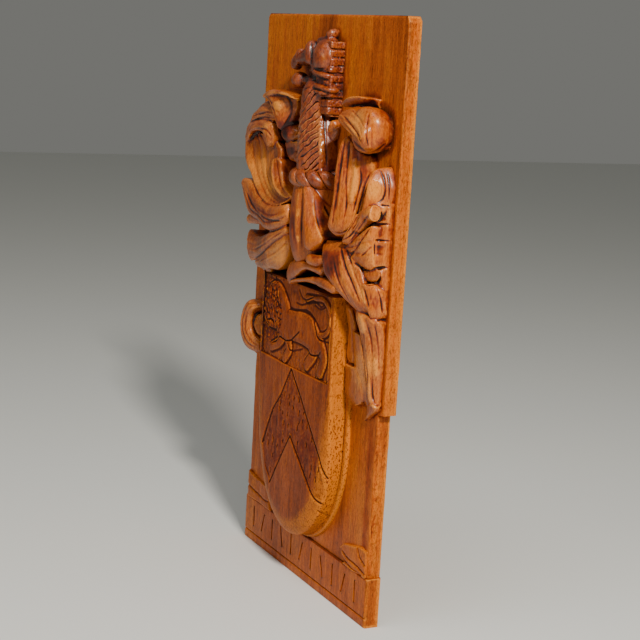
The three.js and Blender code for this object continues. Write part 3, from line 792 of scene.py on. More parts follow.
def strokesTree():
    tree, size, end = newTree("banner strokes", ["Count", "First", "Pitch", "Up", "Face", "Width", "Depth",
                                                 "Length", "Lean"])
    first = treeNode(tree, "ShaderNodeCombineXYZ", {0: size["First"], 1: size["Face"], 2: size["Up"]})
    pitch = treeNode(tree, "ShaderNodeCombineXYZ", {0: size["Pitch"]})
    line = treeNode(tree, "GeometryNodeMeshLine",
                    {"Start Location": first.outputs[0], "Offset": pitch.outputs[0]}, mode="OFFSET")
    tree.links.new(size["Count"], line.inputs["Count"])
    box = treeNode(tree, "ShaderNodeCombineXYZ", {0: size["Width"], 1: size["Depth"], 2: size["Length"]})
    stroke = treeNode(tree, "GeometryNodeMeshCube", {"Size": box.outputs[0]})
    index = treeNode(tree, "GeometryNodeInputIndex").outputs[0]
    lean = times(tree, treeMath(tree, "SINE", times(tree, index, math.pi / 2)), size["Lean"])
    turn = treeNode(tree, "ShaderNodeCombineXYZ", {1: lean})
    rows = treeNode(tree, "GeometryNodeInstanceOnPoints", {
        "Points": line.outputs[0], "Instance": stroke.outputs[0], "Rotation": turn.outputs[0]})
    real = treeNode(tree, "GeometryNodeRealizeInstances", {0: rows.outputs[0]})
    cut = treeNode(tree, "GeometryNodeMeshBoolean", operation="DIFFERENCE", solver="EXACT")
    tree.links.new(size["Geometry"], cut.inputs["Mesh 1"])
    tree.links.new(real.outputs[0], cut.inputs["Mesh 2"])
    dressed = treeNode(tree, "GeometryNodeSetMaterial", {"Geometry": cut.outputs[0]})
    tree.links.new(dressed.outputs[0], end)
    return tree


# Ribbon ends lie folded on the board above the banner: outline, and cut lines on it
ribbonEnds = [
    {
        "outline": [(160, 54), (160, 86), (146, 88), (128, 84), (108, 80), (96, 72), (103, 64), (112, 60),
                    (100, 54)],
        "lines": [[(100, 70), (118, 66), (140, 64), (158, 60)], [(140, 87), (146, 76), (158, 70)],
                  [(104, 62), (126, 58), (150, 56)]],
    },
    {
        "outline": [(-160, 54), (-160, 90), (-140, 86), (-120, 84), (-99, 83), (-90, 77), (-94, 66),
                    (-88, 54)],
        "lines": [[(-158, 70), (-132, 66), (-110, 64), (-97, 65)], [(-95, 80), (-93, 68), (-91, 57)]],
    },
]


ribbonLook = {"grain": 1.3, "rise": 3.2, "cut": 1.5, "wave": 0.5, "under": -2.6}


def ribbonForm(end):
    outline = np.array(end["outline"], float)
    low, high = outline.min(0) - 2, outline.max(0) + 2
    x, ups = (np.arange(low[k], high[k], ribbonLook["grain"]) for k in (0, 1))
    grid = gridPlaces(x, ups)
    inside = insideOutline(grid, end["outline"])
    edge = lineDistance(grid, end["outline"] + end["outline"][:1])
    out = np.where(inside, ribbonLook["rise"] * ease(edge, -0.3, 1.3), -1.6)
    out += inside * ribbonLook["wave"] * np.sin(grid[:, 0] / 9)
    for line in end["lines"]:
        out -= inside * ribbonLook["cut"] * np.exp(-(lineDistance(grid, flatLine(line)) / 1.2) ** 2)
    out += 0.12 * softNoise(laidFlat(grid), 5, 41)
    return sheetForm(x, ups, out, ribbonLook["under"])


bannerPiece = makePiece("banner", [bannerForm()])
room = 2 * (plaque["halfLower"] - banner["strokeMargin"])
strokesUp = banner["lowerGroove"] + (banner["height"] - banner["lowerGroove"]) / 2
growTree(bannerPiece, strokesTree(), {
    "Count": banner["strokeCount"],
    "First": -room / 2000,
    "Pitch": room / 1000 / (banner["strokeCount"] - 1),
    "Up": (strokesUp - plaque["height"] / 2) / 1000,
    "Face": -(plaque["thickness"] + banner["rise"]) / 1000,
    "Width": banner["strokeWidth"] / 1000,
    "Depth": 2 * banner["strokeDepth"] / 1000,
    "Length": banner["strokeLength"] / 1000,
    "Lean": banner["strokeLean"],
})
# Dark wax along the banner's upper edge
ups = unplace(readPoints(bannerPiece))[:, 1]
ends = np.abs(readNormals(bannerPiece)[:, 0])
addStain(bannerPiece, ease(ups, banner["height"] - 2.4, banner["height"] - 0.8) * (1 - ends))
ribbons = makePiece("ribbon_ends", [ribbonForm(end) for end in ribbonEnds])
print("banner done", len(bannerPiece.data.polygons))

# Mantling: each row holds both edges of a leaf, across, up and out in mm
rightLeaves = [
    # the fan over the dome
    dict(rows=[(76, 547, 26, 80, 560, 19), (104, 539, 30, 105, 564, 19), (130, 531, 32, 132, 560, 21),
               (145, 524, 31, 153, 545, 29), (149, 520, 27, 155, 529, 28)], flutes=3, groove=1.8, crown=5),
    # the rim that curls over it
    dict(rows=[(69, 561, 16, 78, 567, 22), (79, 562, 15, 90, 572, 24), (98, 564, 13, 110, 575, 21),
               (111, 564, 9, 121, 574, 15), (117, 564, 4, 123, 574, 8), (125, 563, 1, 128, 573, 3)],
         flutes=1, groove=0.2, crown=1.5, start="blunt", end="blunt"),
    # the leaf twisted up beside the neck
    dict(rows=[(10, 499, 2, 14, 499, 1), (13, 511, 5, 19, 513, 3), (17, 525, 8, 27, 527, 5),
               (25, 537, 10, 34, 538, 6), (30, 546, 9, 32, 545, 6)],
         flutes=1, groove=0.3, crown=2, drop=4),
    # the hanging fold
    dict(rows=[(88, 540, 24, 120, 524, 12), (92, 521, 30, 127, 508, 9), (91, 501, 33, 127, 495, 8),
               (91, 479, 34, 125, 480, 14), (91, 458, 35, 124, 458, 17), (84, 438, 35, 123, 439, 20),
               (73, 424, 32, 112, 423, 25)], flutes=3, groove=1.5, crown=5, drop=9),
    # its lower lobe
    dict(rows=[(133, 455, 26, 140, 454, 18), (126, 442, 29, 138, 439, 18), (114, 427, 30, 132, 424, 19),
               (102, 417, 27, 119, 415, 21)], flutes=2, groove=0.8, crown=4, drop=7),
    # the outer scoop
    dict(rows=[(150, 504, 16, 157, 506, 7), (153, 495, 23, 162, 500, 4), (153, 484, 27, 168, 486, 3),
               (150, 470, 28, 168, 473, 5), (146, 456, 28, 165, 458, 15), (140, 446, 28, 152, 445, 19),
               (120, 430, 26, 136, 431, 20)], flutes=2, groove=1.0, crown=7, drop=6),
    # the flat cloth at the margin under it
    dict(rows=[(145, 465, 12, 168, 468, 6), (147, 449, 15, 168, 452, 7), (151, 428, 17, 168, 432, 8),
               (154, 409, 16, 168, 414, 8), (156, 397, 14, 168, 403, 8)],
         flutes=1, groove=0.2, crown=2, start="blunt", end="blunt", rootIn=0.02),
    # the cloth that spreads from under the hanging fold
    dict(rows=[(106, 409, 20, 100, 418, 20), (125, 402, 23, 124, 424, 24), (143, 399, 23, 145, 436, 25),
               (156, 397, 20, 160, 444, 22), (162, 399, 16, 163, 442, 16)],
         flutes=3, groove=1.2, crown=3, end="blunt"),
    # the block under it
    dict(rows=[(134, 396, 18, 166, 398, 11), (140, 388, 18, 168, 392, 11), (145, 381, 17, 165, 385, 11)],
         flutes=1, groove=0.2, crown=2, start="blunt", drop=3),
    # the strip beside it at the margin
    dict(rows=[(160, 399, 9, 168, 401, 6), (161, 382, 8, 168, 383, 5), (165, 366, 7, 168, 368, 4),
               (168, 350, 5, 168, 351, 4)], flutes=1, groove=0.3, crown=1.5, start="blunt"),
    # the tongue
    dict(rows=[(142, 379, 20, 160, 383, 15), (146, 370, 20, 168, 377, 13), (152, 359, 19, 168, 364, 10),
               (157, 350, 17, 168, 355, 9), (157, 343, 12, 167, 345, 9)],
         flutes=1, groove=0.3, crown=4, start="blunt", drop=5),
    # the cloth that falls over the shield
    dict(rows=[(50, 414, 20, 111, 419, 17), (68, 402, 33, 135, 406, 24), (83, 383, 36, 145, 387, 22),
               (103, 370, 33, 153, 370, 20), (113, 359, 25, 160, 356, 18), (115, 348, 18, 163, 344, 14)],
         flutes=2, groove=1.6, crown=5, start="blunt", drop=8),
    # the long leaf down to the tail
    dict(rows=[(113, 351, 17, 161, 351, 18), (128, 338, 17, 168, 344, 13), (136, 325, 15, 168, 334, 7),
               (141, 308, 13, 168, 313, 4), (149, 288, 12, 168, 290, 4), (155, 270, 11, 168, 272, 4),
               (158, 258, 10, 168, 260, 4), (167, 251, 8, 168, 253, 5)], flutes=3, groove=1.6, crown=5),
    # the flat cloth on its left, and the tail that ends it
    dict(rows=[(106, 323, 9, 141, 324, 14), (113, 302, 9, 148, 304, 13), (117, 278, 8, 154, 282, 11),
               (129, 260, 7, 159, 264, 10), (141, 247, 5, 168, 252, 8)],
         flutes=1, groove=0.3, crown=2, start="blunt", end="blunt"),
    dict(rows=[(144, 248, 5, 168, 253, 9), (140, 238, 4, 168, 247, 8), (135, 227, 2, 148, 233, 4)],
         flutes=1, groove=0.4, crown=2, start="blunt", end="blunt"),
    # the lobe beside the shield
    dict(rows=[(89, 351, 11, 103, 350, 12), (96, 326, 8, 116, 330, 11), (95, 304, 7, 119, 308, 10),
               (92, 283, 7, 124, 287, 10)], flutes=1, groove=0.5, crown=2),
    dict(rows=[(96, 283, 9, 131, 285, 12), (98, 265, 9, 142, 269, 12), (102, 248, 9, 144, 255, 11),
               (120, 241, 7, 137, 247, 9)], flutes=2, groove=0.8, crown=1.5, start="blunt", end="blunt"),
]
leftLeaves = [
    # the curl at the top and its rim
    dict(rows=[(-110, 565, 30, -44, 566, 18), (-90, 556, 32, -43, 554, 18), (-78, 546, 33, -49, 543, 18),
               (-70, 536, 32, -56, 531, 18), (-70, 527, 29, -62, 523, 20)],
         flutes=1, groove=0.2, crown=6, start="blunt"),
    dict(rows=[(-112, 560, 30, -116, 564, 29), (-97, 563, 32, -104, 568, 30), (-75, 567, 33, -87, 572, 29),
               (-52, 567, 32, -61, 571, 28), (-29, 564, 30, -38, 568, 26), (-17, 562, 28, -28, 565, 23)],
         flutes=1, groove=0.2, crown=1),
    # the leaf behind it, in two layers
    dict(rows=[(-165, 528, 22, -139, 548, 20), (-128, 534, 27, -118, 558, 22), (-97, 535, 29, -96, 557, 24),
               (-71, 536, 29, -74, 549, 26)], flutes=3, groove=1.8, crown=4, start="blunt", end="blunt"),
    dict(rows=[(-168, 499, 24, -165, 530, 22), (-143, 517, 31, -135, 534, 25),
               (-115, 522, 33, -105, 536, 28), (-100, 518, 33, -83, 532, 31), (-95, 510, 31, -81, 520, 29),
               (-94, 502, 28, -83, 506, 26)], flutes=2, groove=1.2, crown=4, start="blunt", drop=4),
    # the scoop
    dict(rows=[(-168, 515, 26, -107, 519, 26), (-168, 496, 28, -73, 506, 24),
               (-157, 482, 31, -73, 490, 23), (-138, 469, 32, -80, 474, 23),
               (-119, 454, 33, -68, 463, 24), (-97, 442, 33, -51, 456, 26), (-65, 438, 33, -36, 453, 28),
               (-27, 447, 33, -21, 456, 31)], flutes=5, groove=1.5, crown=-3, start="blunt"),
    # the inner scoop and the dark leaf behind it
    dict(rows=[(-85, 492, 28, -73, 495, 26), (-85, 483, 29, -68, 488, 24), (-81, 471, 30, -66, 477, 23),
               (-72, 460, 31, -60, 468, 24), (-52, 453, 32, -46, 460, 26), (-32, 450, 32, -26, 456, 30)],
         flutes=3, groove=1.4, crown=-1),
    dict(rows=[(-80, 496, 24, -72, 493, 16), (-75, 487, 22, -67, 484, 14), (-72, 472, 20, -64, 468, 12),
               (-61, 455, 20, -55, 458, 14)], flutes=1, groove=0.3, crown=3),
    # the strap under the breast
    dict(rows=[(-68, 511, 20, -31, 516, 20), (-66, 501, 18, -36, 505, 18), (-62, 490, 14, -48, 491, 14)],
         flutes=1, groove=0.4, crown=2, start="blunt"),
    # the upper leaf that sweeps out to the margin
    dict(rows=[(-168, 452, 26, -168, 461, 27), (-156, 434, 28, -133, 460, 31),
               (-142, 420, 29, -106, 445, 33), (-108, 416, 32, -83, 438, 35), (-82, 408, 34, -58, 438, 36),
               (-47, 413, 36, -31, 443, 37), (-14, 425, 34, -17, 447, 34)],
         flutes=3, groove=2.0, crown=4),
    # the scrap under it
    dict(rows=[(-160, 405, 22, -157, 417, 24), (-121, 409, 26, -120, 419, 27),
               (-94, 413, 29, -94, 417, 29)], flutes=1, groove=0.3, crown=2),
    # the lower leaf, in two layers
    dict(rows=[(-141, 361, 24, -153, 399, 22), (-111, 370, 28, -123, 394, 24), (-88, 380, 31, -94, 400, 28),
               (-65, 393, 33, -68, 408, 31), (-38, 405, 33, -41, 415, 31), (-19, 414, 32, -25, 422, 31)],
         flutes=2, groove=1.2, crown=4, start="blunt"),
    dict(rows=[(-126, 357, 22, -123, 367, 24), (-94, 358, 26, -92, 379, 29), (-69, 362, 28, -66, 392, 31),
               (-50, 365, 28, -42, 404, 31), (-34, 376, 27, -26, 412, 29), (-25, 387, 24, -22, 404, 24)],
         flutes=3, groove=1.2, crown=4),
    # the stem down beside the shield and the hooked tail
    dict(rows=[(-64, 398, 30, -50, 386, 30), (-92, 378, 26, -74, 362, 26), (-111, 353, 18, -92, 346, 18),
               (-119, 325, 10, -107, 323, 10)], flutes=2),
    dict(rows=[(-130, 313, 8, -126, 306, 12), (-152, 311, 17, -132, 303, 20), (-168, 290, 20, -141, 292, 20),
               (-168, 268, 20, -142, 275, 20), (-153, 250, 18, -130, 266, 17),
               (-126, 247, 10, -124, 261, 12)], flutes=4, groove=2.0, crown=4),
    dict(rows=[(-141, 296, 10, -128, 298, 10), (-142, 280, 14, -126, 282, 12),
               (-132, 268, 10, -124, 270, 10)], flutes=1, crown=3),
]
helmetFolds = [
    # the plate
    dict(rows=[(8, 478, 30, 19, 477, 24), (18, 466, 34, 28, 467, 27), (24, 450, 36, 37, 451, 29),
               (28, 433, 38, 46, 435, 30), (31, 420, 38, 56, 425, 30), (34, 408, 38, 63, 416, 30),
               (37, 398, 35, 53, 404, 31)], flutes=1, groove=0.2, crown=3, start="blunt", drop=4),
    # the fold at its right
    dict(rows=[(10, 478, 21, 17, 477, 13), (17, 466, 23, 25, 467, 15), (25, 450, 25, 31, 450, 15),
               (31, 438, 26, 42, 438, 13), (40, 426, 26, 50, 429, 15), (50, 418, 24, 50, 419, 18)],
         flutes=1, groove=0.2, crown=-3, start="blunt"),
]
collarFolds = [
    # upper fold over the shield's head
    dict(rows=[(-32, 349, 25, -32, 376, 24), (-6, 361, 29, -5, 384, 27), (13, 371, 31, 20, 385, 30),
               (33, 378, 32, 38, 386, 31), (51, 378, 32, 58, 388, 31), (74, 376, 32, 80, 388, 31)],
         flutes=1, groove=0.3, crown=3),
    # lower fold
    dict(rows=[(-22, 351, 27, -10, 360, 28), (15, 361, 30, 20, 367, 30), (50, 365, 32, 52, 373, 32),
               (77, 364, 33, 83, 376, 33), (107, 362, 33, 113, 374, 33)], flutes=1, groove=0.4, crown=4),
]

# Rounded edges and ends: across, up, out, half width and depth in mm
rightRolls = [
    # the scoop's cut end
    dict(rows=[(138, 451, 22, 5, 5), (154, 456, 22, 7.6, 7), (166.5, 458, 21.5, 8.6, 7.2)], end="blunt"),
]

# Gouge strokes: half width, depth (below zero raises a ridge), tint (dark stain and painted shade, below zero
# rubbed pale and painted highlights) and the line's places across, up and out, all in mm
rightStrokes = [
    # the fan's edge and flutes, and the dome behind it, with painted highlights on the fan and dome and
    # painted shade under the rim and the dome
    (1.0, 1.6, 0.9, [(157, 562, 30), (153, 552, 30), (153, 538, 30), (156, 525, 28)]),
    (1.1, 1.5, 0.8, [(93, 555, 29), (117, 546, 31), (138, 536, 32), (147, 526, 29)]),
    (0.8, 1.0, 0.5, [(89, 549, 28), (115, 540, 31), (137, 530, 31)]),
    (0.8, 1.0, 0.5, [(119, 561, 31), (140, 552, 32), (153, 544, 32)]),
    (1.3, 1.2, 1.0, [(71, 543, 22), (95, 535, 24), (117, 526, 24), (135, 519, 22), (144, 517, 22),
                       (156, 522, 18), (161, 531, 10)]),
    (8.0, 0.0, 0.45, [(156, 527, 22), (170, 535, 16)]),
    (5.0, 0.0, 0.4, [(151, 563, 22), (166, 560, 18), (165, 550, 10)]),
    (8.0, 0.0, -1.1, [(109, 558, 28), (133, 547, 30), (148, 532, 30)]),
    (3.0, 0.0, -1.1, [(165, 557, 28), (169, 550, 27)]),
    (3.0, 0.0, 0.7, [(112, 568, 18), (123, 568, 12), (133, 569, 8)]),
    # the hanging fold, with a painted highlight down its ridge and painted shade on its flanks
    (1.1, 0.9, 0.35, [(99, 534, 26), (102, 507, 31), (101, 480, 33), (97, 451, 34), (91, 430, 33)]),
    (6.0, 0.0, 0.6, [(88, 527, 26), (96, 490, 32), (94, 447, 33)]),
    (1.1, -0.8, -0.4, [(106, 501, 31), (107, 470, 33), (102, 438, 33)]),
    (1.1, 1.0, 0.35, [(107, 531, 25), (111, 510, 28), (113, 487, 30), (117, 460, 30), (110, 437, 30)]),
    (1.1, 1.0, 0.4, [(128, 503, 22), (132, 489, 22), (131, 472, 25), (126, 453, 26)]),
    (3.2, -2.8, -1.8, [(124, 512, 26), (129, 491, 27), (124, 462, 28)]),
    (7.0, 0.0, 0.6, [(120, 515, 14), (128, 483, 17), (125, 459, 20)]),
    (7.0, 0.0, 0.5, [(96, 528, 24), (108, 516, 22), (121, 511, 14)]),
    (1.0, 1.4, 0.7, [(86, 422, 30), (106, 422, 27), (125, 431, 25), (135, 445, 23)]),
    (1.0, 1.0, 0.5, [(89, 429, 33), (109, 429, 31), (123, 436, 28), (129, 451, 24)]),
    # the outer scoop, with a painted highlight inside it and darker on its flank
    (1.1, 1.4, 0.8, [(159, 504, 16), (168, 495, 15), (170, 483, 13), (166, 472, 14), (161, 468, 18)]),
    (0.9, 1.0, 0.6, [(162, 502, 8), (165, 486, 6), (166, 472, 6)]),
    (5.5, 0.0, 0.55, [(162, 502, 8), (165, 484, 6), (166, 470, 7)]),
    (5.0, 0.0, -1.0, [(164, 497, 22), (167, 484, 24), (160, 470, 25)]),
    (4.0, 0.0, -0.5, [(158, 468, 25), (147, 452, 24)]),
    (1.3, 1.2, 0.7, [(149, 499, 20), (147, 487, 24), (144, 472, 26), (139, 456, 27), (126, 439, 26)]),
    (1.2, 1.4, 0.6, [(163, 467, 24), (152, 451, 24), (134, 436, 23), (119, 422, 24)]),
    (0.9, 0.9, 0.6, [(173, 463, 18), (174, 454, 18), (166, 448, 18)]),
    # notches in the cloth at the margin
    (0.8, 1.3, 0.8, [(159, 466, 12), (171, 466, 6)]),
    (0.9, 1.4, 0.8, [(151, 445, 16), (176, 448, 7)]),
    (0.9, 1.4, 0.8, [(158, 429, 16), (180, 431, 8)]),
    (0.8, 1.2, 0.6, [(160, 427, 16), (162, 412, 16)]),
    (4.5, 1.2, 0.45, [(168, 426, 14), (169, 413, 14)]),
    (5.0, 0.0, 0.35, [(166, 462, 10), (168, 450, 10)]),
    (5.0, 0.0, 0.3, [(171, 445, 9), (173, 433, 9)]),
    (1.1, 1.6, 0.8, [(155, 397, 16), (163, 400, 13), (179, 403, 8)]),
    # the cloth over it
    (1.1, 1.5, 0.8, [(127, 401, 23), (142, 398, 22), (152, 396, 20), (157, 397, 17)]),
    (1.2, 1.6, 0.7, [(160, 444, 22), (146, 429, 24), (130, 414, 24), (113, 402, 22)]),
    (0.9, 0.9, 0.5, [(160, 424, 18), (153, 416, 22), (142, 408, 24)]),
    (5.0, 0.0, -0.7, [(157, 438, 20), (154, 425, 23), (146, 412, 24)]),
    (4.0, 0.0, -0.5, [(157, 420, 16), (156, 405, 16)]),
    (3.0, 0.0, 0.35, [(152, 437, 22), (138, 420, 24)]),
    # the block and the tongue
    (0.9, 1.2, 0.8, [(144, 379, 17), (158, 382, 15), (165, 385, 12), (168, 392, 11), (167, 398, 11)]),
    (1.1, 0.0, -0.7, [(143, 382, 17), (157, 385, 16), (164, 388, 13)]),
    (1.1, -0.8, -0.9, [(143, 377, 20), (151, 366, 20), (157, 359, 19)]),
    (0.9, 0.9, 0.6, [(149, 377, 20), (157, 367, 20), (161, 356, 18)]),
    (1.1, 1.4, 0.8, [(163, 381, 14), (170, 373, 12), (173, 362, 10), (173, 353, 9)]),
    (1.1, 0.8, 0.9, [(155, 347, 16), (162, 343, 12), (171, 346, 9)]),
    (6.0, 0.0, 0.25, [(158, 374, 17), (169, 354, 13)]),
    (1.1, -0.4, -0.5, [(169, 368, 6), (174, 351, 5)]),
    # the cloth over the shield
    (1.0, 1.5, 0.7, [(117, 413, 26), (131, 397, 26), (141, 381, 23), (154, 362, 20)]),
    (1.2, 1.6, 0.7, [(111, 415, 30), (122, 398, 31), (133, 381, 27), (147, 360, 22)]),
    (1.0, 1.0, 0.5, [(108, 398, 36), (114, 382, 34), (123, 365, 28), (130, 350, 20)]),
    (1.6, -0.8, -0.7, [(126, 401, 26), (138, 385, 24), (151, 367, 21), (156, 352, 17)]),
    (1.4, -0.6, -0.4, [(114, 399, 33), (124, 381, 31), (134, 363, 24)]),
    (10.0, 0.0, 0.8, [(91, 411, 34), (102, 393, 36), (109, 377, 34)]),
    (6.0, 0.0, 0.5, [(111, 416, 29), (123, 405, 27)]),
    (2.0, 0.8, 0.8, [(87, 371, 36), (108, 368, 34), (116, 362, 29), (121, 357, 24)]),
    # the long leaf and its curled tip, with painted highlights on its ridges
    (1.2, 1.3, 0.5, [(122, 350, 17), (134, 333, 16), (142, 313, 14), (148, 292, 12), (156, 272, 11)]),
    (1.0, 1.0, 0.4, [(150, 338, 14), (156, 322, 11), (159, 305, 10)]),
    (1.0, 1.0, 0.5, [(158, 342, 10), (164, 319, 7), (169, 290, 6)]),
    (2.6, -2.0, -1.3, [(140, 349, 18), (144, 339, 17), (146, 326, 15)]),
    (2.0, -1.0, -0.45, [(161, 305, 9), (165, 295, 8), (167, 281, 7)]),
    (1.2, -1.4, -0.35, [(157, 282, 11), (157, 259, 9), (162, 252, 8), (167, 250, 6), (172, 253, 4),
                       (171, 258, 3)]),
    (0.9, 0.9, 0.35, [(162, 280, 10), (162, 261, 8), (164, 255, 6)]),
    (0.8, 0.6, 0.15, [(168, 276, 8), (168, 263, 7)]),
    # the cloth and lobe on its left
    (3.5, 0.0, -0.6, [(128, 305, 12), (134, 282, 10), (144, 260, 9)]),
    (1.0, 0.6, 0.8, [(99, 281, 9), (103, 249, 9), (111, 245, 8), (121, 243, 8), (130, 247, 8)]),
    (1.0, 0.8, 0.6, [(146, 244, 5), (139, 235, 3), (135, 227, 2), (150, 235, 4)]),
]
leftStrokes = [
    # the curl, with a painted highlight on its face and painted shade at its right and in the hollow under it
    (2.6, -1.2, -1.3, [(-80, 559, 29), (-71, 552, 28), (-69, 547, 28)]),
    (1.3, 1.3, 0.7, [(-57, 567, 26), (-46, 558, 24), (-45, 547, 24), (-55, 536, 24), (-63, 526, 26)]),
    (6.0, 0.0, 0.6, [(-51, 563, 22), (-45, 546, 20), (-47, 530, 22)]),
    (1.6, 1.5, 0.9, [(-109, 562, 30), (-95, 558, 31), (-81, 554, 32)]),
    (1.0, 1.0, 0.6, [(-84, 554, 32), (-74, 544, 32), (-69, 532, 31)]),
    (1.4, -0.3, -0.6, [(-102, 564, 31), (-80, 569, 31), (-54, 569, 30), (-33, 565, 27)]),
    (9.0, 0.0, 1.3, [(-84, 521, 20), (-56, 525, 24), (-47, 523, 18)]),
    (5.0, 0.0, 0.9, [(-59, 508, 18), (-53, 497, 16)]),
    # the leaf behind it
    (1.0, 1.3, 0.7, [(-139, 533, 27), (-111, 538, 28), (-82, 538, 28)]),
    (0.9, 1.0, 0.6, [(-133, 539, 26), (-110, 544, 26), (-88, 544, 26)]),
    (1.1, 1.4, 0.8, [(-143, 519, 30), (-120, 523, 31), (-95, 524, 32), (-81, 517, 30)]),
    (1.6, 0.7, 0.5, [(-167, 498, 25), (-138, 511, 29), (-108, 516, 32), (-98, 511, 31), (-95, 499, 29)]),
    (6.0, 0.0, 0.3, [(-145, 525, 28), (-116, 532, 28)]),
    (3.0, 0.0, -0.5, [(-109, 528, 31), (-91, 526, 31)]),
    # the scoops, with painted highlights on their lit faces
    (4.0, 0.0, -0.7, [(-147, 493, 28), (-128, 471, 30), (-100, 453, 31)]),
    (3.0, 0.0, -0.6, [(-117, 499, 26), (-97, 471, 28), (-62, 451, 30)]),
    (4.0, 0.6, 0.7, [(-73, 491, 18), (-65, 473, 18), (-54, 460, 20)]),
    (1.5, -0.5, -0.7, [(-77, 493, 28), (-77, 474, 29), (-57, 457, 30), (-31, 450, 30)]),
    # the upper leaf and the painted shade in the gap under it
    (8.0, 0.0, 0.4, [(-150, 442, 28), (-110, 424, 30), (-51, 422, 32)]),
    (1.1, 1.2, 0.6, [(-163, 450, 27), (-129, 431, 30), (-86, 421, 33), (-27, 424, 34)]),
    (2.5, 0.5, 1.0, [(-129, 402, 26), (-100, 402, 28)]),
    # the lower leaf, with a painted highlight on it
    (9.0, 0.0, -0.9, [(-96, 374, 26), (-60, 379, 28), (-26, 401, 27)]),
    (1.0, 1.0, 0.6, [(-136, 375, 23), (-98, 387, 27), (-59, 403, 30), (-29, 415, 30)]),
    (1.0, 1.0, 0.5, [(-117, 363, 24), (-80, 376, 28), (-50, 388, 29), (-27, 403, 28)]),
]
helmetStrokes = [
    # the keel, with painted highlights on it and painted shade on the helmet's left side
    (1.4, -1.0, -0.7, [(8, 464, 34), (10, 442, 36), (13, 422, 37), (19, 404, 37)]),
    (1.1, 1.0, 0.6, [(14, 465, 32), (20, 438, 35), (24, 415, 36), (27, 399, 35)]),
    (1.1, 0.5, 0.2, [(-4, 461, 34), (0, 435, 36), (6, 408, 36)]),
    (6.0, 0.0, 0.45, [(-5, 454, 34), (1, 418, 36), (2, 390, 32)]),
    (1.3, 0.0, -1.4, [(16, 446, 36), (15, 434, 37)]),
    (1.3, 0.0, -1.4, [(17, 415, 37), (24, 407, 38)]),
    # the plate's edge and the fold beside it, with painted shade in the fold and in the hollow below it
    (1.2, -0.3, -1.0, [(32, 463, 28), (43, 441, 30), (53, 425, 30), (63, 416, 30), (58, 407, 31),
                       (47, 402, 33), (37, 398, 35)]),
    (4.5, 0.0, 0.7, [(28, 462, 20), (36, 440, 20), (46, 424, 20)]),
    (1.1, 0.0, -0.8, [(34, 447, 17), (46, 437, 14)]),
    (1.1, 1.2, 0.9, [(37, 451, 16), (49, 438, 13)]),
    (1.2, 0.8, 0.7, [(31, 460, 26), (40, 440, 27), (51, 426, 27), (59, 417, 26)]),
    (5.0, 0.0, 0.5, [(37, 392, 30), (58, 397, 28)]),
    (8.0, 0.0, 1.0, [(44, 420, 20), (63, 418, 17), (81, 418, 14)]),
]
collarStrokes = [
    # a painted highlight on the upper fold's ridge and painted shade in the arch under it
    (1.5, -0.4, -0.5, [(-3, 364, 29), (16, 372, 31), (36, 377, 32), (57, 377, 31)]),
    (3.0, 0.0, 0.5, [(10, 366, 28), (32, 373, 29), (60, 372, 30)]),
    (1.4, 1.0, 0.7, [(-1, 355, 27), (36, 362, 30), (71, 362, 32), (102, 361, 33)]),
]


# The full end of the fan, in levels: out, half across, half up
def domeForm(across, up, levels):
    angle = np.linspace(0, 2 * np.pi, 72, endpoint=False)
    rings = []
    for out, wide, tall in smoothPath([(a, b, c) for a, b, c in levels], 0.9)[0]:
        x = across + wide * np.sign(np.cos(angle)) * np.abs(np.cos(angle)) ** 0.85
        z = up + tall * np.sign(np.sin(angle)) * np.abs(np.sin(angle)) ** 0.85
        rings.append(np.stack([x, z, np.full(len(angle), out)], 1))
    return closedForm(np.array(rings))


dome = domeForm(132, 541, [(-3, 23, 18), (1, 24.5, 20), (6, 26, 22.5), (13, 27, 24), (19, 26.5, 24.5),
                           (24, 23.5, 22.5), (27.5, 18, 17), (29.5, 10, 9), (29.9, 2, 2)])


# How fine the carving's mesh is, in mm
mantlingGrain = {"mantling_right": 1.02, "mantling_left": 1.16, "collar_folds": 1.0}


def mantlingPiece(name, leaves, rolls=(), extra=()):
    forms = [fold(seed=number, **shape) for number, shape in enumerate(leaves)]
    forms += [limb(sides=22, step=1.5, **shape) for shape in rolls]
    piece = makePiece(name, [*forms, *extra])
    fuse(piece, mantlingGrain[name], 1)
    roughen(piece, [(11, 0.3), (3.5, 0.12)], len(leaves))
    return piece


mantlingRight = mantlingPiece("mantling_right", rightLeaves, rightRolls, [dome])
mantlingLeft = mantlingPiece("mantling_left", leftLeaves, extra=[ball(-57, 523, 12, 20, 12, 15, 40)])
foldsPiece = mantlingPiece("collar_folds", collarFolds)
gouge(mantlingRight, rightStrokes)
gouge(mantlingLeft, leftStrokes)
gouge(foldsPiece, collarStrokes)
print("mantling done", len(mantlingRight.data.polygons), len(mantlingLeft.data.polygons))

# Helmet: a bell whose visor points left, with a plate on its right side and a roll under the plate
helmet = {"middle": 8.0, "foot": 390.0, "height": 80.0, "half": 37.0, "relief": 41.0, "grain": 0.9}
# Across, up, half width and how far out, as shares of the helmet's half width, height and relief
helmetBell = [(-0.16, 1.06, 0.88, 0.80), (-0.16, 0.9, 0.94, 0.86), (-0.15, 0.62, 0.99, 0.90),
              (-0.12, 0.3, 1.0, 0.91), (-0.08, 0.05, 0.9, 0.84), (-0.02, -0.12, 0.72, 0.72),
              (0.02, -0.3, 0.62, 0.62)]
helmetVisor = [(-0.5, 0.62, 0.55, 0.85), (-0.95, 0.5, 0.4, 0.7), (-1.3, 0.42, 0.12, 0.5)]
# Across, up, out, half width and depth in mm
helmetRoll = [(34, 391, 28, 5.5, 7), (50, 391, 31, 6.4, 8), (66, 393, 30, 6.2, 8), (76, 398, 25, 4, 6)]


